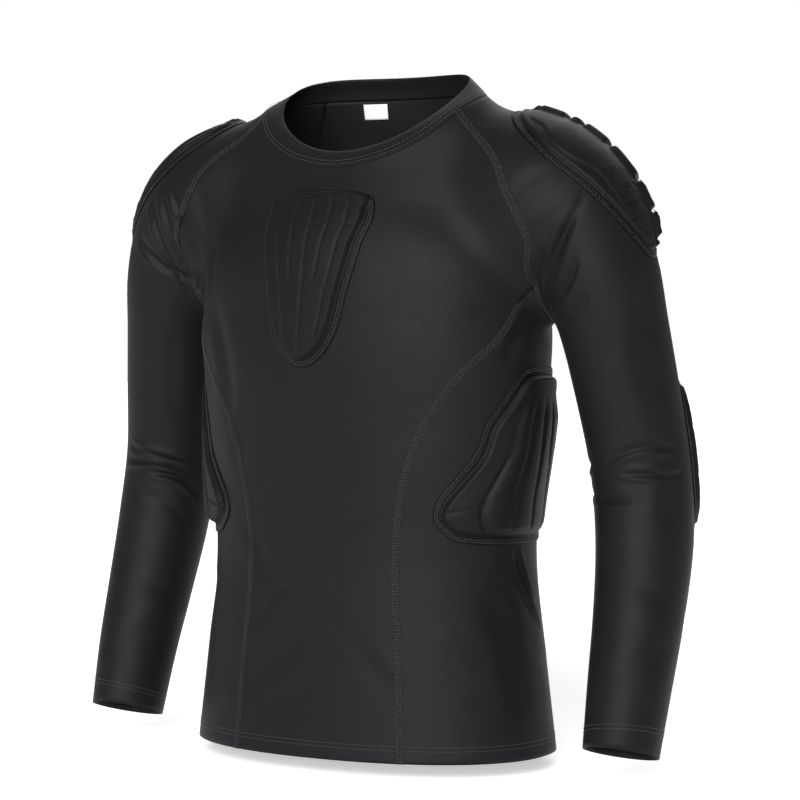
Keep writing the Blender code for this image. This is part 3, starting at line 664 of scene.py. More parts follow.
def side_grid():
    """The side panel on the wearer's left: columns run from the front seam to the back one."""
    front = side_seam(SIDE_FRONT)
    back = side_seam(SIDE_BACK)
    top = underarm_seam()[::-1]
    around = np.linspace(SIDE_FRONT[0].around, SIDE_BACK[0].around, UNDERARM_STEPS + 1)
    hem = torso_points(around, HEM_HEIGHT)
    front[-1], back[-1] = top[0], top[-1]
    lines = coons(flat_of(hem), flat_of(top), flat_of(front), flat_of(back))
    grid = torso_points(lines[..., 0], lines[..., 1])
    grid[0], grid[-1], grid[:, 0], grid[:, -1] = hem, top, front, back
    return settle(grid)


def sleeve_grid():
    """The sleeve on the wearer's left: rings from its seams with the body and neck down to the cuff."""
    around_neck = np.linspace(RAGLAN_NECK_FRONT, RAGLAN_NECK_BACK, NECK_STEPS + 1)
    neck = onto_body(neck_loop(NECK_SEAM, around_neck))
    under = underarm_seam()
    back = raglan_seam(RAGLAN_BACK, RAGLAN_NECK_BACK, under[0])[::-1]
    front = raglan_seam(RAGLAN_FRONT, RAGLAN_NECK_FRONT, under[-1])
    loop = np.concatenate([neck[:-1], back[:-1], under[:-1], front[:-1]])
    count = len(loop)
    along, turn = arm_place(loop)
    turn[NECK_STEPS + 1 :] %= 360
    turn[: NECK_STEPS // 2 + 1] = (turn[: NECK_STEPS // 2 + 1] + 180) % 360 - 180
    even = (np.arange(count) - NECK_STEPS / 2) * 360 / count
    share = np.linspace(0, 1, SLEEVE_STEPS + 1)[:, None]
    lengths = along + (ARM_LENGTH - along) * share
    settled = np.clip(share / SLEEVE_EVENS_OUT, 0, 1)
    turns = turn + (even - turn) * settled
    grid = arm_points(turns, lengths)
    grid[0] = loop
    return settle(grid, closed=True)


def smooth_line(points, steps=FINE):
    """A smooth line or grid through these rows of points. Steps is how many take the place of each one, or
    the places themselves, counted in the old steps."""
    last = len(points) - 1
    at = np.linspace(0, last, last * steps + 1) if np.isscalar(steps) else steps
    slopes = np.gradient(points, axis=0)
    low = np.minimum(at.astype(int), last - 1)
    t = (at - low).reshape(-1, *[1] * (points.ndim - 1))
    rise = points[low + 1] - points[low]
    bend_low = slopes[low] - rise
    bend_high = rise - slopes[low + 1]
    return points[low] + rise * t + t * (1 - t) * (bend_low * (1 - t) + bend_high * t)


def in_stretches(points, corners, steps=FINE):
    """Fine rows of points, smooth between the corners."""
    fine = [smooth_line(points[a : b + 1], steps)[:-1] for a, b in zip(corners, corners[1:])]
    return np.concatenate(fine + [points[corners[-1]][None]])


def finer(grid, row_corners, column_corners, closed=False, row_steps=FINE, column_steps=FINE):
    """The grid with fine steps, pressed onto the shirt's form again."""
    if closed:
        grid = np.concatenate([grid, grid[:, :1]], axis=1)
    rows = in_stretches(grid, row_corners, row_steps)
    fine = in_stretches(rows.swapaxes(0, 1), column_corners, column_steps).swapaxes(0, 1)
    return onto_body(fine[:, :-1] if closed else fine, 3)


def sleeve_row_places():
    """Places down the sleeve, in coarse steps: closest together where the elbow's creases lie."""
    shoulder = np.linspace(0, 8, 8 * SLEEVE_FINE[0] + 1)[:-1]
    elbow = np.linspace(8, 15, 7 * SLEEVE_FINE[1] + 1)[:-1]
    return np.concatenate([shoulder, elbow, np.linspace(15, SLEEVE_STEPS, 7 * SLEEVE_FINE[2] + 1)])


def crease_line(crease):
    """Places along a crease on the plain form."""
    start, over, end = (np.array(crease[i : i + 3], float) for i in (0, 3, 6))
    bend = 2 * over - (start + end) / 2
    share = np.linspace(0, 1, CREASE_PARTS + 1)[:, None]
    return onto_body(start * (1 - share) ** 2 + bend * 2 * share * (1 - share) + end * share**2, 3)


CREASE_LINES = [crease_line(crease) for crease in CREASES]


def crease_moves(p, normals):
    """How far the creases move the cloth outwards at each place: troughs with a low ridge beside them."""
    moves = np.zeros(p.shape[:-1])
    for crease, line in zip(CREASES, CREASE_LINES):
        reach = crease.width * 4
        low, high = line.min(0) - reach, line.max(0) + reach
        near = ((p > low) & (p < high)).all(-1)
        if not near.any():
            continue
        q = p[near]
        best = np.full(len(q), 1e9)
        place = np.zeros(len(q))
        across = np.zeros(len(q))
        for i in range(CREASE_PARTS):
            run = line[i + 1] - line[i]
            t = np.clip((q - line[i]) @ run / (run @ run), 0, 1)
            away = q - line[i] - t[:, None] * run
            far = np.linalg.norm(away, axis=1)
            nearer = far < best
            best = np.where(nearer, far, best)
            place = np.where(nearer, (i + t) / CREASE_PARTS, place)
            side = np.cross(run / np.linalg.norm(run), normals[near])
            across = np.where(nearer, (away * side).sum(1), across)
        fade = np.clip(4.4 * place * (1 - place), 0, 1) ** 0.8
        trough = -crease.depth * np.exp(-((best / crease.width) ** 2))
        ridge = crease.ridge * np.exp(-(((across - 1.9 * crease.width) / crease.width) ** 2))
        ridge *= np.exp(-((best / (2.6 * crease.width)) ** 4))
        moves[near] += fade * (trough + ridge)
    return moves


def cloth_at(p):
    """Places on the creased cloth, with their outward directions, from places on the plain form."""
    normals = outward(p)
    return p + normals * crease_moves(p, normals)[..., None], normals


def wall_mesh(name, outer, inner, closed, materials, texture=True):
    """A closed wall between two grids of points of the same shape. Closed grids join round."""
    rows, columns = outer.shape[:2]
    points = np.concatenate([outer.reshape(-1, 3), inner.reshape(-1, 3)]) * MM
    across = columns if closed else columns - 1
    row = np.repeat(np.arange(rows - 1), across)
    col = np.tile(np.arange(across), rows - 1)
    a = row * columns + col
    b = row * columns + (col + 1) % columns
    c, d = b + columns, a + columns
    start = rows * columns
    faces = [np.stack([a, b, c, d], 1), np.stack([d, c, b, a], 1) + start]
    ring = np.arange(across)
    near, far = ring, (ring + 1) % columns
    bottom = np.stack([far, near, near + start, far + start], 1)
    lift = (rows - 1) * columns
    top = np.stack([near + lift, far + lift, far + lift + start, near + lift + start], 1)
    faces += [bottom, top]
    if not closed:
        low = np.arange(rows - 1) * columns
        left = np.stack([low, low + columns, low + columns + start, low + start], 1)
        right = np.stack([low + columns, low, low + start, low + columns + start], 1) + columns - 1
        faces += [left, right]
    faces = np.concatenate(faces)
    corners = points[faces[:, :3]]
    volume = (np.cross(corners[:, 0], corners[:, 1]) * corners[:, 2]).sum()
    if volume < 0:
        faces = faces[:, ::-1]
    mesh = bpy.data.meshes.new(name)
    mesh.from_pydata(points, [], faces.tolist())
    if texture:
        add_texture_map(mesh, outer, closed)
    mesh.shade_smooth()
    for material in materials:
        mesh.materials.append(material)
    made = bpy.data.objects.new(name, mesh)
    bpy.context.scene.collection.objects.link(made)
    return made


def add_texture_map(mesh, outer, closed):
    """A map in metres across and along the cloth, for its knit."""
    rows, columns = outer.shape[:2]
    steps = np.linalg.norm(np.diff(outer, axis=1), axis=-1).mean(0)
    wide = np.concatenate([[0], np.cumsum(steps)]) * MM
    climbs = np.linalg.norm(np.diff(outer, axis=0), axis=-1).mean(1)
    long = np.concatenate([[0], np.cumsum(climbs)]) * MM
    u = np.tile(wide, rows)
    v = np.repeat(long, columns)
    both = np.tile(np.stack([u, v], 1), (2, 1))
    loops = np.empty(len(mesh.loops), np.int32)
    mesh.loops.foreach_get("vertex_index", loops)
    layer = mesh.uv_layers.new(name="cloth")
    places = both[loops]
    if closed:
        whole = wide[-1] + np.linalg.norm(outer[:, 0] - outer[:, -1], axis=-1).mean() * MM
        per_face = places.reshape(-1, 4, 2)
        wraps = np.ptp(per_face[:, :, 0], axis=1) > whole / 2
        low = per_face[:, :, 0] < whole / 2
        per_face[:, :, 0] += whole * (wraps[:, None] & low)
        places = per_face.reshape(-1, 2)
    layer.data.foreach_set("uv", places.astype(np.float32).ravel())


def add_cloth(name, grid, closed, material, flip=False):
    """A jersey panel on this fine grid, with its creases and a thin wall."""
    p = mirrored(grid) if flip else grid
    outer, normals = cloth_at(p)
    return wall_mesh(name, outer, outer - normals * JERSEY, closed, [material])


def add_collar(material):
    """The neck band: a folded strip from the neck seam up to the edge of the opening and down inside."""
    loops = []
    for low, high, steps in (
        (-RAGLAN_NECK_FRONT, RAGLAN_NECK_FRONT, PANEL_STEPS),
        (RAGLAN_NECK_FRONT, RAGLAN_NECK_BACK, NECK_STEPS),
        (RAGLAN_NECK_BACK, 360 - RAGLAN_NECK_BACK, PANEL_STEPS),
        (360 - RAGLAN_NECK_BACK, 360 - RAGLAN_NECK_FRONT, NECK_STEPS),
    ):
        around = np.linspace(low, high, steps + 1)
        seam = smooth_line(onto_body(neck_loop(NECK_SEAM, around)))[:-1]
        edge = smooth_line(neck_loop(NECK_EDGE, around))[:-1]
        loops.append((onto_body(seam, 3), edge))
    seam = np.concatenate([a for a, b in loops])
    edge = np.concatenate([b for a, b in loops])
    seam, seam_normals = cloth_at(seam)
    up = unit(edge - seam)
    round_it = np.roll(seam, -1, axis=0) - np.roll(seam, 1, axis=0)
    normals = unit(np.cross(round_it, up))
    away = seam - seam.mean(0)
    away[:, 2] = 0
    normals *= np.sign((normals * away).sum(-1, keepdims=True))
    rows_up = np.linspace(0, 1, 13)
    outer = []
    inner = []
    for share in rows_up:
        lean = unit(seam_normals * (1 - share) + normals * share)
        bulge = 0.8 * np.sin(np.pi * min(share * 1.15, 1)) - 0.55 * np.clip(share - 0.86, 0, 1) / 0.14
        place = seam + (edge - seam) * share + lean * bulge
        outer.append(place)
        thick = BAND_CLOTH - 0.9 * np.clip((share - 0.8) / 0.2, 0, 1) ** 2
        inner.append(place - lean * thick)
    return wall_mesh("neck_band", np.array(outer), np.array(inner), True, [material])


def soft_step(values, start, width):
    """From 0 to 1, smoothly, over this width from the start."""
    t = np.clip((values - start) / width, 0, 1)
    return t * t * (3 - 2 * t)


def pad_outline(rows, count=360):
    """A closed smooth line round a pad, as places across and along."""
    left = [(row.left, row.along) for row in rows]
    right = [(row.right, row.along) for row in rows[::-1]]
    corners = np.array(left + right, float)
    scale = np.ptp(corners, axis=0)
    ring = np.concatenate([corners[-3:], corners, corners[:3]])
    steps = np.sqrt(np.linalg.norm(np.diff(ring / scale, axis=0), axis=1))
    knots = np.concatenate([[0], np.cumsum(steps)])
    at = np.linspace(knots[3], knots[-3], count + 1)[:-1]
    return np.stack([spline(at, knots, ring[:, i]) for i in range(2)], axis=-1)


def filled_outline(outline, steps):
    """A square grid of places inside a closed outline, ring within ring."""
    centre = (outline.min(0) + outline.max(0)) / 2
    half = np.ptp(outline, axis=0) / 2
    spread = (outline - centre) / half
    angles = np.arctan2(spread[:, 1], spread[:, 0])
    order = np.argsort(angles)
    line = np.linspace(-1, 1, steps + 1)
    u, v = np.meshgrid(line, line)
    ring = np.maximum(np.abs(u), np.abs(v))
    angle = np.arctan2(v, u)
    places = []
    for i in range(2):
        edge = np.interp(angle, angles[order], outline[order, i], period=2 * np.pi)
        places.append(centre[i] + (edge - centre[i]) * ring)
    return places


def rows_at(rows, along):
    """A pad's middle and half width at these places along it."""
    order = np.argsort(column(rows, "along"))
    knots = np.array(column(rows, "along"), float)[order]
    left = spline(along, knots, np.array(column(rows, "left"), float)[order])
    right = spline(along, knots, np.array(column(rows, "right"), float)[order])
    return (left + right) / 2, (right - left) / 2


def bell(values, at, width, power=2):
    """1 at a place, falling to 0 on both sides of it over this width."""
    return np.exp(-(((values - at) / width) ** power))


def foam_height(inward, flange, rise, slope):
    """The thin stitched flange round a pad, then the foam's edge, this far in and over this slope."""
    edge = FLANGE_HEIGHT / 2 * (1 + soft_step(inward, 0, FLANGE_ROUND))
    return edge + rise * soft_step(inward, flange, slope)


def deepest(values, rows, scale):
    """How deep the grooves in these rows are at each value."""
    deep = np.zeros(values.shape)
    for row in rows:
        deep = np.maximum(deep, row.depth * bell(values * scale, row.place * scale, row.width))
    return deep


def chest_relief(inward, across, along, half):
    """Foam in a fan of soft blocks: grooves run down and draw together, and others cross them."""
    top = soft_step(-along, 0.8, 0.15)
    dip = CHEST_TOP_FLANGE + CHEST_DIP * bell(across, 0, 0.4)
    flange = (CHEST_FLANGE + CHEST_FLANGE_WIDENS * across) * (1 - top) + dip * top
    height = foam_height(inward, flange, 4.2, 3.6) + 0.5 * soft_step(inward, 12, 22)
    groove = np.zeros(along.shape)
    for row in CHEST_GROOVES:
        at = row.place * (1 - row.closes * soft_step(along, -0.6, 1.4))
        fade = soft_step(row.reach - along, 0, 0.25)
        groove = np.maximum(groove, fade * bell(across * half, at * half, CHEST_GROOVE_WIDTH))
    bow = 0.03 * np.cos(across * 9)
    for place in CHEST_CROSSINGS:
        crossing = bell((along - bow) * CHEST_HALF_LENGTH, place * CHEST_HALF_LENGTH, CHEST_GROOVE_WIDTH)
        groove = np.maximum(groove, 0.7 * crossing)
    return height - CHEST_GROOVE_DEPTH * groove * soft_step(inward, flange + 2.5, 3)


def shoulder_relief(inward, across, along, _):
    """A scalloped sloped strip, then a smooth face, and a crest of raised blocks along the top."""
    scallop = np.zeros(along.shape)
    for place in SCALLOPS:
        scallop = np.maximum(scallop, bell(along, place, 0.16))
    height = foam_height(inward, 6.0, 3.2, 2.6)
    height += 1.2 * soft_step(inward, 10.5 + 5.5 * scallop, 2.4)
    crest = soft_step(across - 0.17 * along, 0.04, 0.16)
    crest *= soft_step(0.8 - across, 0, 0.1) * soft_step(inward, 7, 3)
    cut = np.zeros(along.shape)
    for gap in SHOULDER_CUTS:
        middle = gap.place * SHOULDER_HALF_LENGTH
        cut = np.maximum(cut, bell(along * SHOULDER_HALF_LENGTH, middle, gap.width, 4))
    return height + crest * (BLOCK_HEIGHT - CUT_DEPTH * cut)


def rib_relief(inward, across, along, half):
    """A smooth flank in front, one deep groove, then soft upright ribs that run round to the back."""
    height = foam_height(inward, 7.0, 4.8, 3.2) + 1.2 * soft_step(inward, 10, 14)
    ribs = soft_step(across, -0.6, 0.1) * soft_step(inward, 10, 5) * soft_step(along, -0.72, 0.35)
    groove = deepest(across, RIB_GROOVES, half)
    first = bell(across * half, -0.6 * half, 1.5) * soft_step(along, -0.1, 0.3) * soft_step(inward, 8, 5)
    fold = (along - 0.62 + 0.35 * (across + 0.75)) * RIB_HALF_LENGTH
    pull = bell(fold, 0, 1.8) * soft_step(-across, 0.55, 0.1) * soft_step(inward, 8, 4)
    sink = 1 - 0.5 * soft_step(along, -0.5, 1.4) * soft_step(across, -0.5, 0.7)
    foam = height + ribs * (RIB_HEIGHT - groove) - 2.2 * first - 0.7 * pull - FLANGE_HEIGHT
    return FLANGE_HEIGHT + foam * sink


def elbow_relief(inward, _, along, __):
    """A domed pad with two grooves across it."""
    height = foam_height(inward, 5.5, 4.4, 3.2) + 0.9 * soft_step(inward, 12, 20)
    groove = deepest(along, ELBOW_GROOVES, ELBOW_HALF_LENGTH)
    return height - groove * soft_step(inward, 8, 3)


Pad = namedtuple("Pad", "rows place relief scale steps")
PADS = {
    "chest": Pad(CHEST_PAD, chest_points, chest_relief, 1.0, PAD_STEPS),
    "shoulder": Pad(SHOULDER_PAD, arm_points, shoulder_relief, 0.94, PAD_STEPS),
    "rib": Pad(RIB_PAD, torso_points, rib_relief, 2.4, PAD_STEPS),
    "elbow": Pad(ELBOW_PAD, arm_points, elbow_relief, 0.73, ELBOW_PAD_STEPS),
}


def pad_form(pad):
    """The places under a pad on the plain form, and its height over each."""
    outline = pad_outline(pad.rows)
    side, along = filled_outline(outline, pad.steps)
    base = pad.place(side, along)
    edge = pad.place(outline[:, 0], outline[:, 1])
    inward = distance_to_line(base, edge)
    middle, half = rows_at(pad.rows, along)
    across = np.clip((side - middle) / np.maximum(half, 1e-3), -1.3, 1.3)
    ends = [pad.rows[0].along, pad.rows[-1].along]
    length = (along - sum(ends) / 2) / ((ends[1] - ends[0]) / 2)
    return base, pad.relief(inward, across, length, half * pad.scale), edge


def distance_to_line(points, line):
    """How far each point is from a closed line."""
    fine = np.concatenate([line + (np.roll(line, -1, axis=0) - line) * t for t in (0, 0.25, 0.5, 0.75)])
    tree = kdtree.KDTree(len(fine))
    for i, place in enumerate(fine):
        tree.insert(place, i)
    tree.balance()
    flat = points.reshape(-1, 3)
    return np.array([tree.find(p)[2] for p in flat]).reshape(points.shape[:-1])


def add_pad(name, form, material, flip=False):
    base, height, _ = form
    p = mirrored(base) if flip else base
    cloth, normals = cloth_at(p)
    top = cloth + normals * (PAD_LIFT + height)[..., None]
    made = wall_mesh(name, top, cloth + normals * 0.15, False, [material])
    # Mask for painted shade: 0 on a pad's low flange and 1 on its raised foam, by the foam's height
    layer = made.data.attributes.new("foam", "FLOAT", "POINT")
    layer.data.foreach_set("value", np.tile(soft_step(height, 1.2, 1.5).ravel(), 2).astype(np.float32))
    return made


def add_label(material):
    """The size label, close inside the back panel below the neck band."""
    across = LABEL_CENTRE + LABEL_WIDTH * np.linspace(-0.5, 0.5, 13)
    height = LABEL_TOP - LABEL_HEIGHT * np.linspace(0, 1, 9)
    x, z = np.meshgrid(across, height)
    origin = np.stack([x, 0 * x, z], axis=-1)
    base = cast(origin, np.broadcast_to([0.0, 1.0, 0.0], origin.shape), *NECK_REACH)
    normals = outward(base)
    outer = base - normals * (JERSEY + 1.2)
    return wall_mesh("neck_label", outer, outer - normals * LABEL_CLOTH, False, [material])


class Signal:
    """A number or colour in a node tree. Arithmetic on it adds Math nodes."""

    def __init__(self, nodes, socket):
        self.nodes = nodes
        self.socket = socket

    def math(self, operation, first, second=None):
        values = {0: first} if second is None else {0: first, 1: second}
        return self.nodes.node("ShaderNodeMath", {"operation": operation}, values)

    def __add__(self, other):
        return self.math("ADD", self, other)

    def __radd__(self, other):
        return self.math("ADD", other, self)

    def __sub__(self, other):
        return self.math("SUBTRACT", self, other)

    def __rsub__(self, other):
        return self.math("SUBTRACT", other, self)

    def __mul__(self, other):
        return self.math("MULTIPLY", self, other)

    def __rmul__(self, other):
        return self.math("MULTIPLY", other, self)


class Nodes:
    """A node tree, with one way to add each node."""

    def __init__(self, tree):
        self.tree = tree

    def node(self, kind, settings, values, out=0):
        made = self.tree.nodes.new(kind)
        for name, value in settings.items():
            setattr(made, name, value)
        for socket, value in values.items():
            self.put(made.inputs[socket], value)
        return Signal(self, made.outputs[out])

    def put(self, socket, value):
        if isinstance(value, Signal):
            self.tree.links.new(value.socket, socket)
        else:
            socket.default_value = value


class Finish(Nodes):
    """A material with its shader."""

    def __init__(self, name, colour, roughness, **constants):
        self.material = bpy.data.materials.new(name)
        self.material.use_nodes = True
        super().__init__(self.material.node_tree)
        self.shader = self.tree.nodes["Principled BSDF"]
        self.shader.inputs["Base Color"].default_value = (*colour, 1)
        self.shader.inputs["Roughness"].default_value = roughness
        for socket, value in constants.items():
            self.shader.inputs[socket.replace("_", " ")].default_value = value
        self.material.diffuse_color = (*colour, 1)

    def feed(self, socket, value):
        self.put(self.shader.inputs[socket], value)

    def bump(self, height, strength, distance, under=None):
        values = {"Height": height, "Strength": strength, "Distance": distance}
        if under is not None:
            values["Normal"] = under
        return self.node("ShaderNodeBump", {}, values)

    def noise(self, place, scale, detail=2.0, roughness=0.5):
        values = {"Vector": place, "Scale": scale, "Detail": detail, "Roughness": roughness}
        return self.node("ShaderNodeTexNoise", {}, values)

    def object_place(self):
        return self.node("ShaderNodeTexCoord", {}, {}, out="Object")

    def cloth_place(self):
        return self.node("ShaderNodeUVMap", {"uv_map": "cloth"}, {})

    def waves(self, place, direction, scale, distortion=0.0):
        settings = {"wave_type": "BANDS", "bands_direction": direction, "wave_profile": "SIN"}
        values = {"Vector": place, "Scale": scale, "Distortion": distortion}
        return self.node("ShaderNodeTexWave", settings, values, out="Fac")


def tint(finish, factor, first, second):
    """From one colour to another, by the factor. Each may be a link or a plain colour."""
    values = {0: factor}
    for socket, colour in ((6, first), (7, second)):
        values[socket] = colour if isinstance(colour, Signal) else (*colour, 1)
    return finish.node("ShaderNodeMix", {"data_type": "RGBA"}, values, out=2)


GLOSS = 0.1
SHEEN = 0.02

# Colours of the finishes, where there are two the darker and the lighter of its patches
CLOTH_COLOURS = (0.0058, 0.0060, 0.0070), (0.0078, 0.0081, 0.0092)
FOAM_COLOURS = (0.0050, 0.0052, 0.0062), (0.0068, 0.0071, 0.0082)
# Painted shade: the pads' low flanges beside the foam's edge are darkened to this colour
FLANGE_PAINTED_SHADE = (0.0022, 0.0023, 0.0028)
TAPE_COLOURS = (0.0042, 0.0044, 0.0052), (0.0065, 0.0068, 0.0078)
# Painted highlight: the black thread is given a lighter colour than the cloth, so that its stitches show as
# bright specks
THREAD_PAINTED_SHEEN_COLOUR = (0.02, 0.021, 0.0235)
LABEL_COLOURS = (0.72, 0.72, 0.7), (0.84, 0.84, 0.82)
FLOOR_COLOUR = (0.93, 0.93, 0.93)
FLOOR_GLOW = 0.5

# How deep the stitches of the knit are, in metres
KNIT_DEPTH = 0.00016
TAPE_KNIT_DEPTH = 0.0004


def knit_jersey(name, colours, roughness, knit_depth, flange=None):
    """Smooth stretch jersey: fine upright ribs of stitches, soft satin gloss and a little unevenness. Given
    the flange colour, it paints shade on a pad's low flange.
    """
    finish = Finish(
        name,
        colours[1],
        roughness,
        Specular_IOR_Level=GLOSS,
        Sheen_Weight=SHEEN,
        Sheen_Roughness=0.4,
        Sheen_Tint=(0.75, 0.8, 0.9, 1),
    )
    place = finish.object_place()
    cloth = finish.cloth_place()
    patches = finish.noise(place, 26.0, 3.0)
    colour = tint(finish, patches, *colours)
    # Painted shade: where a pad stands low, on its flange beside the foam's edge, the colour darkens to the
    # flange colour
    if flange is not None:
        foam = finish.node("ShaderNodeAttribute", {"attribute_name": "foam"}, {}, out="Fac")
        colour = tint(finish, foam, flange, colour)
    finish.feed("Base Color", colour)
    finish.feed("Roughness", roughness - 0.06 + 0.12 * finish.noise(place, 60.0, 2.0))
    ribs = finish.waves(cloth, "X", 240.0)
    courses = finish.waves(cloth, "Y", 190.0)
    fuzz = finish.noise(place, 1400.0, 2.0)
    knit = finish.bump(ribs * 0.6 + courses * 0.4 + fuzz * 0.7, 0.35, knit_depth)
    pulls = finish.noise(place, 42.0, 3.0, 0.55)
    finish.feed("Normal", finish.bump(pulls, 0.22, 0.0012, under=knit))
    return finish.material


# The thread's colour, lighter than the black cloth, is a painted highlight
def thread_finish(name, colour):
    finish = Finish(name, colour, 0.42, Specular_IOR_Level=0.5, Sheen_Weight=0.15)
    place = finish.object_place()
    finish.feed("Roughness", 0.34 + 0.2 * finish.noise(place, 900.0, 1.0))
    return finish.material


def label_finish():
    finish = Finish("label_tape_finish", (0.8, 0.8, 0.78), 0.6, Specular_IOR_Level=0.35)
    cloth = finish.cloth_place()
    weave = finish.waves(cloth, "X", 900.0) * finish.waves(cloth, "Y", 900.0)
    finish.feed("Base Color", tint(finish, weave, *LABEL_COLOURS))
    finish.feed("Normal", finish.bump(weave, 0.3, 0.0002))
    return finish.material


def stage_finish():
    """A pale floor that gives off a little light, so that it stays pale under the low sun."""
    finish = Finish(
        "stage_finish", FLOOR_COLOUR, 0.7, Specular_IOR_Level=0.2, Emission_Strength=FLOOR_GLOW
    )
    finish.put(finish.shader.inputs["Emission Color"], (1, 1, 1, 1))
    return finish.material


Thread = namedtuple("Thread", "pitch length width height lean")


def stitch_tree():
    """A Geometry Nodes tree that sets small threads along lines that carry the cloth's direction."""
    tree = bpy.data.node_groups.new("stitches", "GeometryNodeTree")
    face = tree.interface
    face.new_socket("Geometry", in_out="INPUT", socket_type="NodeSocketGeometry")
    for name in ("Pitch", "Length", "Width", "Height", "Lean"):
        face.new_socket(name, in_out="INPUT", socket_type="NodeSocketFloat")
    face.new_socket("Thread", in_out="INPUT", socket_type="NodeSocketMaterial")
    face.new_socket("Geometry", in_out="OUTPUT", socket_type="NodeSocketGeometry")
    nodes, links = tree.nodes, tree.links

    def add(kind, values=(), **settings):
        made = nodes.new(kind)
        for name, value in settings.items():
            setattr(made, name, value)
        for socket, value in dict(values).items():
            if isinstance(value, bpy.types.NodeSocket):
                links.new(value, made.inputs[socket])
            else:
                made.inputs[socket].default_value = value
        return made

    given = add("NodeGroupInput").outputs
    curve = add("GeometryNodeMeshToCurve", {"Mesh": given["Geometry"]})
    even = {"Curve": curve.outputs[0], "Length": given["Pitch"]}
    spaced = add("GeometryNodeResampleCurve", even, mode="LENGTH")
    up = add("GeometryNodeInputNamedAttribute", {"Name": "cloth_up"}, data_type="FLOAT_VECTOR")
    run = add("GeometryNodeInputTangent")
    turn = add(
        "FunctionNodeAxesToRotation",
        {"Primary Axis": up.outputs[0], "Secondary Axis": run.outputs[0]},
        primary_axis="Z",
        secondary_axis="X",
    )
    index = add("GeometryNodeInputIndex")
    odd = add("ShaderNodeMath", {0: index.outputs[0], 1: 2.0}, operation="MODULO")
    swing = add("ShaderNodeMath", {0: odd.outputs[0], 1: 2.0}, operation="MULTIPLY")
    side = add("ShaderNodeMath", {0: swing.outputs[0], 1: 1.0}, operation="SUBTRACT")
    lean = add("ShaderNodeMath", {0: side.outputs[0], 1: given["Lean"]}, operation="MULTIPLY")
    wobble = add("FunctionNodeRandomValue", {"Min": -0.14, "Max": 0.14, "Seed": 7}, data_type="FLOAT")
    wobble.inputs[2].default_value = -0.14
    wobble.inputs[3].default_value = 0.14
    angle = add("ShaderNodeMath", {0: lean.outputs[0], 1: wobble.outputs[1]}, operation="ADD")
    spin = add("FunctionNodeAxisAngleToRotation", {"Axis": (0, 0, 1), "Angle": angle.outputs[0]})
    both = add(
        "FunctionNodeRotateRotation",
        {"Rotation": turn.outputs[0], "Rotate By": spin.outputs[0]},
        rotation_space="LOCAL",
    )
    size = add("ShaderNodeCombineXYZ", {0: given["Length"], 1: given["Width"], 2: given["Height"]})
    grain = add("GeometryNodeMeshUVSphere", {"Radius": 0.5, "Segments": 4, "Rings": 2})
    smooth = add("GeometryNodeSetShadeSmooth", {"Geometry": grain.outputs[0]})
    placed = add(
        "GeometryNodeInstanceOnPoints",
        {
            "Points": spaced.outputs[0],
            "Instance": smooth.outputs[0],
            "Rotation": both.outputs[0],
            "Scale": size.outputs[0],
        },
    )
    real = add("GeometryNodeRealizeInstances", {"Geometry": placed.outputs[0]})
    done = add("GeometryNodeSetMaterial", {"Geometry": real.outputs[0], "Material": given["Thread"]})
    out = add("NodeGroupOutput")
    links.new(done.outputs[0], out.inputs[0])
    return tree


def stitched(name, tree, runs, thread, material):
    """Stitches along these runs. Each run is a line of places and the outward direction at each."""
    points = np.concatenate([p for p, up in runs]) * MM
    ups = np.concatenate([up for p, up in runs])
    edges = []
    start = 0
    for p, _ in runs:
        edges += [(start + i, start + i + 1) for i in range(len(p) - 1)]
        start += len(p)
    mesh = bpy.data.meshes.new(name + "_line")
    mesh.from_pydata(points, edges, [])
    layer = mesh.attributes.new("cloth_up", "FLOAT_VECTOR", "POINT")
    layer.data.foreach_set("vector", ups.astype(np.float32).ravel())
    guide = bpy.data.objects.new(name + "_line", mesh)
    bpy.context.scene.collection.objects.link(guide)
    modifier = guide.modifiers.new("stitches", "NODES")
    modifier.node_group = tree
    sizes = {"Pitch": thread.pitch, "Length": thread.length, "Width": thread.width, "Height": thread.height}
    for item in tree.interface.items_tree:
        if item.in_out == "INPUT" and item.name in sizes:
            modifier[item.identifier] = sizes[item.name] * MM
        elif item.in_out == "INPUT" and item.name == "Lean":
            modifier[item.identifier] = float(np.radians(thread.lean))
        elif item.in_out == "INPUT" and item.name == "Thread":
            modifier[item.identifier] = material
    bpy.context.view_layer.update()
    evaluated = guide.evaluated_get(bpy.context.evaluated_depsgraph_get())
    plain = bpy.data.meshes.new_from_object(evaluated)
    plain.name = name
    made = bpy.data.objects.new(name, plain)
    bpy.context.scene.collection.objects.link(made)
    bpy.data.objects.remove(guide)
    return made


def line_steps(line, step):
    """The line with points this far apart or a little less."""
    lengths = np.linalg.norm(np.diff(line, axis=0), axis=1)
    knots = np.concatenate([[0], np.cumsum(lengths)])
    at = np.linspace(0, knots[-1], int(np.ceil(knots[-1] / step)) + 1)
    return np.stack([np.interp(at, knots, line[:, i]) for i in range(3)], axis=-1)


def beside(line, shift, lift):
    """A line this far to the side of a line on the plain form, and this high over the creased cloth."""
    normals = outward(line)
    run = np.gradient(line, axis=0)
    side = unit(np.cross(run, normals))
    moved = onto_body(line + side * shift, 2)
    cloth, ups = cloth_at(moved)
    return cloth + ups * lift, ups


def seam_ribbon(name, line, material):
    """The flat seam's band of looper threads: a low ribbon over the join of two panels."""
    line = line_steps(line, 1.6)
    shifts = np.array([-3.0, -2.5, -1.4, 0, 1.4, 2.5, 3.0])
    lifts = np.array([-0.25, 0.3, 0.42, 0.3, 0.42, 0.3, -0.25])
    outer = []
    inner = []
    for shift, lift in zip(shifts, lifts):
        place, ups = beside(line, shift, lift)
        outer.append(place)
        inner.append(place - ups * 0.7)
    return wall_mesh(name, np.array(outer), np.array(inner), False, [material])


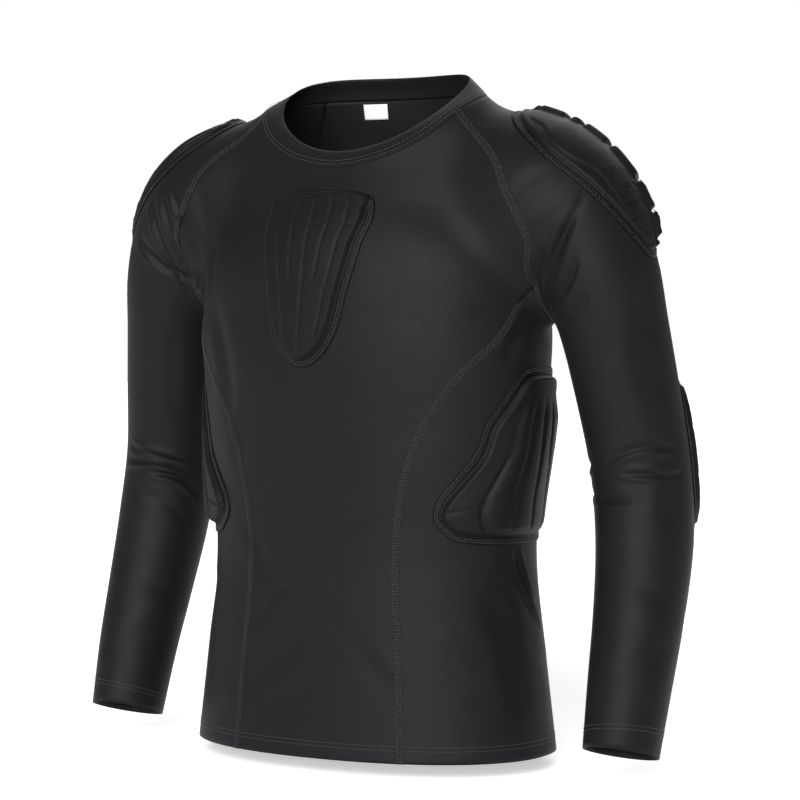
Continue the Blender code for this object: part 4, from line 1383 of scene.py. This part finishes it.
def seam_runs(line, shifts, lift):
    line = line_steps(line, 1.6)
    return [beside(line, shift, lift) for shift in shifts]


def ring_runs(line, shifts, lift):
    """Runs beside a closed line, closed too."""
    runs = []
    for shift in shifts:
        closed = np.concatenate([line[-2:], line, line[:2]])
        place, ups = beside(closed, shift, lift)
        runs.append((place[2:-1], ups[2:-1]))
    return runs


def pad_runs(form, inset, flip):
    """Runs round a pad's flange, this far in from its edge."""
    edge = form[2]
    ring = np.concatenate([edge, edge[:2]])
    if flip:
        ring = mirrored(ring)
    normals = outward(ring)
    side = unit(np.cross(np.gradient(ring, axis=0), normals))
    middle = mirrored(form[0].mean((0, 1))) if flip else form[0].mean((0, 1))
    side *= np.sign((side * (middle - ring)).sum(-1, keepdims=True))
    moved = onto_body(ring + side * inset, 2)
    cloth, ups = cloth_at(moved)
    return [(cloth + ups * (PAD_LIFT + 1.05), ups)]


def add_cloth_pieces(jersey):
    """The seven jersey panels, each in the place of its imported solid."""
    side_corners = [0, SIDE_STEPS]
    body_corners = [0, SIDE_STEPS, SIDE_STEPS + RAGLAN_STEPS]
    ring = np.cumsum([0, NECK_STEPS, RAGLAN_STEPS, UNDERARM_STEPS, RAGLAN_STEPS])
    front = finer(front_grid(), body_corners, [0, PANEL_STEPS])
    back = finer(back_grid(), body_corners, [0, PANEL_STEPS])
    side = finer(side_grid(), side_corners, [0, UNDERARM_STEPS], column_steps=SIDE_FINE)
    sleeve = finer(sleeve_grid(), [0, SLEEVE_STEPS], ring, closed=True, row_steps=sleeve_row_places())
    pieces = {
        "front_panel": add_cloth("front_cloth", front, False, jersey),
        "back_panel": add_cloth("back_cloth", back, False, jersey),
    }
    for name, flip in (("left", False), ("right", True)):
        pieces["side_panel_" + name] = add_cloth("side_cloth_" + name, side, False, jersey, flip)
        pieces["sleeve_" + name] = add_cloth("sleeve_cloth_" + name, sleeve, True, jersey, flip)
    pieces["collar"] = add_collar(jersey)
    grids = {"front": front, "back": back, "side": side, "sleeve": sleeve}
    return pieces, grids


def add_pads(foam):
    forms = {name: pad_form(pad) for name, pad in PADS.items()}
    pieces = {"chest_pad": add_pad("chest_foam", forms["chest"], foam)}
    for part in ("shoulder", "rib", "elbow"):
        for name, flip in (("left", False), ("right", True)):
            pieces[f"{part}_pad_{name}"] = add_pad(f"{part}_foam_{name}", forms[part], foam, flip)
    return pieces, forms


FLAT_THREAD = Thread(2.4, 2.0, 0.62, 0.5, 0)
LOOPER_THREAD = Thread(1.9, 2.5, 0.5, 0.45, 62)
COVER_THREAD = Thread(2.5, 2.1, 0.62, 0.5, 0)
PAD_THREAD = Thread(1.9, 2.3, 0.55, 0.5, 40)

# How far in from a pad's edge its two rows of stitches run
CHEST_STITCHES = (2.0, 4.2)
SIDE_PAD_STITCHES = (1.6, 3.6)


def add_seams(grids, forms, tape, thread):
    """Flat seams between the panels, cover stitches at the edges, and the pads' own stitches."""
    tree = stitch_tree()
    fine_side = SIDE_STEPS * FINE
    front, back, sleeve = grids["front"], grids["back"], grids["sleeve"]
    neck_end = NECK_STEPS * FINE
    raglan = RAGLAN_STEPS * FINE
    under = sleeve[0, neck_end + raglan : neck_end + raglan + UNDERARM_STEPS * FINE + 1]
    lines = {}
    for name, flip in (("left", False), ("right", True)):
        turned = mirrored if flip else np.array
        lines["front_raglan_" + name] = turned(front[fine_side:, -1])
        lines["back_raglan_" + name] = turned(back[fine_side:, 0])
        lines["front_side_" + name] = turned(front[: fine_side + 1, -1])
        lines["back_side_" + name] = turned(back[: fine_side + 1, 0])
        lines["underarm_" + name] = turned(under)
    pieces = []
    flat_runs = []
    looper_runs = []
    for name, line in lines.items():
        pieces.append(seam_ribbon("seam_" + name, line, tape))
        flat_runs += seam_runs(line, (-2.3, 2.3), 0.38)
        looper_runs += seam_runs(line, (-0.9, 0.9), 0.5)
    pieces.append(stitched("flat_stitches", tree, flat_runs, FLAT_THREAD, thread))
    pieces.append(stitched("looper_stitches", tree, looper_runs, LOOPER_THREAD, thread))
    pieces.append(stitched("cover_stitches", tree, cover_runs(grids), COVER_THREAD, thread))
    pad_lines = []
    for inset in CHEST_STITCHES:
        pad_lines += pad_runs(forms["chest"], inset, False)
    for part in ("shoulder", "rib", "elbow"):
        for flip in (False, True):
            for inset in SIDE_PAD_STITCHES:
                pad_lines += pad_runs(forms[part], inset, flip)
    pieces.append(stitched("pad_stitches", tree, pad_lines, PAD_THREAD, thread))
    return pieces


def cover_runs(grids):
    """Twin rows of cover stitches: at the hem, the cuffs and under the neck seam."""
    around = np.arange(0, 360, 1.0)
    hem = torso_points(around, HEM_HEIGHT + 12)
    neck = onto_body(neck_loop(NECK_SEAM, around))
    runs = ring_runs(hem, (-1.6, 1.6), 0.15)
    runs += ring_runs(neck, (-5.2, -2.2), 0.15)
    cuff = line_ring(grids["sleeve"][-5])
    for flip in (False, True):
        ring = mirrored(cuff) if flip else cuff
        runs += ring_runs(ring, (-1.6, 1.6), 0.15)
    return runs


def line_ring(ring):
    closed = np.concatenate([ring, ring[:1]])
    return line_steps(closed, 2.0)[:-1]


Sun = namedtuple("Sun", "name across height spread strength")
SUNS = [
    Sun("front_sun", 14, 22, 50, 4.4),
    Sun("back_sun", 200, 40, 50, 1.0),
]
ROOM_LIGHT = 0.2
FLOOR_HALF_WIDTH = 9.0
FLOOR_BELOW_HEM = 0.012


def add_camera():
    """The photograph's view: from the front and the wearer's left, a little above the middle."""
    across, lift, distance = 30.0, 2.0, 2200.0
    a, e = np.radians(across), np.radians(lift)
    back = Vector((np.sin(a) * np.cos(e), -np.cos(a) * np.cos(e), np.sin(e)))
    right = Vector((np.cos(a), np.sin(a), 0.0))
    up = back.cross(right)
    aim = Vector((0, 0, -254.7)) + right * 21.0
    place = (aim + back * distance) * MM
    data = bpy.data.cameras.new("camera")
    data.sensor_width = 36
    data.lens = 36 * distance / 668.0
    camera = bpy.data.objects.new("camera", data)
    turned = Matrix((right, up, back)).transposed().to_4x4()
    camera.matrix_world = Matrix.Translation(place) @ turned
    bpy.context.scene.collection.objects.link(camera)
    bpy.context.scene.camera = camera


def add_sun(name, across, height, spread, strength):
    """Soft light from far off: across is its angle from the front towards the wearer's left."""
    data = bpy.data.lights.new(name, "SUN")
    data.energy = strength
    data.angle = np.radians(spread)
    light = bpy.data.objects.new(name, data)
    a, e = np.radians(across), np.radians(height)
    towards = Vector((np.sin(a) * np.cos(e), -np.cos(a) * np.cos(e), np.sin(e)))
    light.rotation_euler = towards.to_track_quat("Z", "Y").to_euler()
    bpy.context.scene.collection.objects.link(light)


def add_studio():
    """A pale floor in front of white, and soft light from the front and above."""
    mesh = bpy.data.meshes.new("floor")
    half = FLOOR_HALF_WIDTH
    height = HEM_HEIGHT * MM - FLOOR_BELOW_HEM
    corners = [(-half, -half, height), (half, -half, height), (half, half, height), (-half, half, height)]
    mesh.from_pydata(corners, [], [(0, 1, 2, 3)])
    mesh.materials.append(stage_finish())
    floor = bpy.data.objects.new("floor", mesh)
    bpy.context.scene.collection.objects.link(floor)
    world = bpy.data.worlds.new("studio")
    world.use_nodes = True
    room = Nodes(world.node_tree)
    background = room.tree.nodes["Background"]
    room.put(background.inputs["Color"], (1, 1, 1, 1))
    seen = room.node("ShaderNodeLightPath", {}, {}, out="Is Camera Ray")
    room.put(background.inputs["Strength"], ROOM_LIGHT + (1 - ROOM_LIGHT) * seen)
    bpy.context.scene.world = world
    bpy.context.scene.view_settings.view_transform = "Standard"
    for sun in SUNS:
        add_sun(*sun)


def seat(piece, node=None):
    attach(piece, "root")
    if node:
        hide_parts(node)


def main():
    jersey = knit_jersey("jersey_finish", CLOTH_COLOURS, 0.52, KNIT_DEPTH)
    foam = knit_jersey("pad_jersey_finish", FOAM_COLOURS, 0.5, KNIT_DEPTH, flange=FLANGE_PAINTED_SHADE)
    tape = knit_jersey("seam_tape_finish", TAPE_COLOURS, 0.6, TAPE_KNIT_DEPTH)
    thread = thread_finish("thread_finish", THREAD_PAINTED_SHEEN_COLOUR)
    add_camera()
    add_studio()
    cloth, grids = add_cloth_pieces(jersey)
    pads, forms = add_pads(foam)
    label = add_label(label_finish())
    seams = add_seams(grids, forms, tape, thread)
    for node, piece in cloth.items():
        seat(piece, node)
    for node, piece in pads.items():
        seat(piece, node)
    seat(label, "size_label")
    for piece in seams:
        seat(piece)
    declare_sheets(seams)


Cut = namedtuple("Cut", "node width length area")
CUTS = [
    Cut("front_panel", 0.38, 0.54, 0.112),
    Cut("back_panel", 0.37, 0.56, 0.111),
    Cut("side_panel_left", 0.27, 0.38, 0.08),
    Cut("side_panel_right", 0.27, 0.38, 0.08),
    Cut("sleeve_left", 0.36, 0.66, 0.134),
    Cut("sleeve_right", 0.36, 0.66, 0.134),
    Cut("collar", 0.52, 0.022, 0.0102),
]


def declare_sheets(seams):
    for cut in CUTS:
        with_pieces = seams if cut.node == "front_panel" else ()


main()
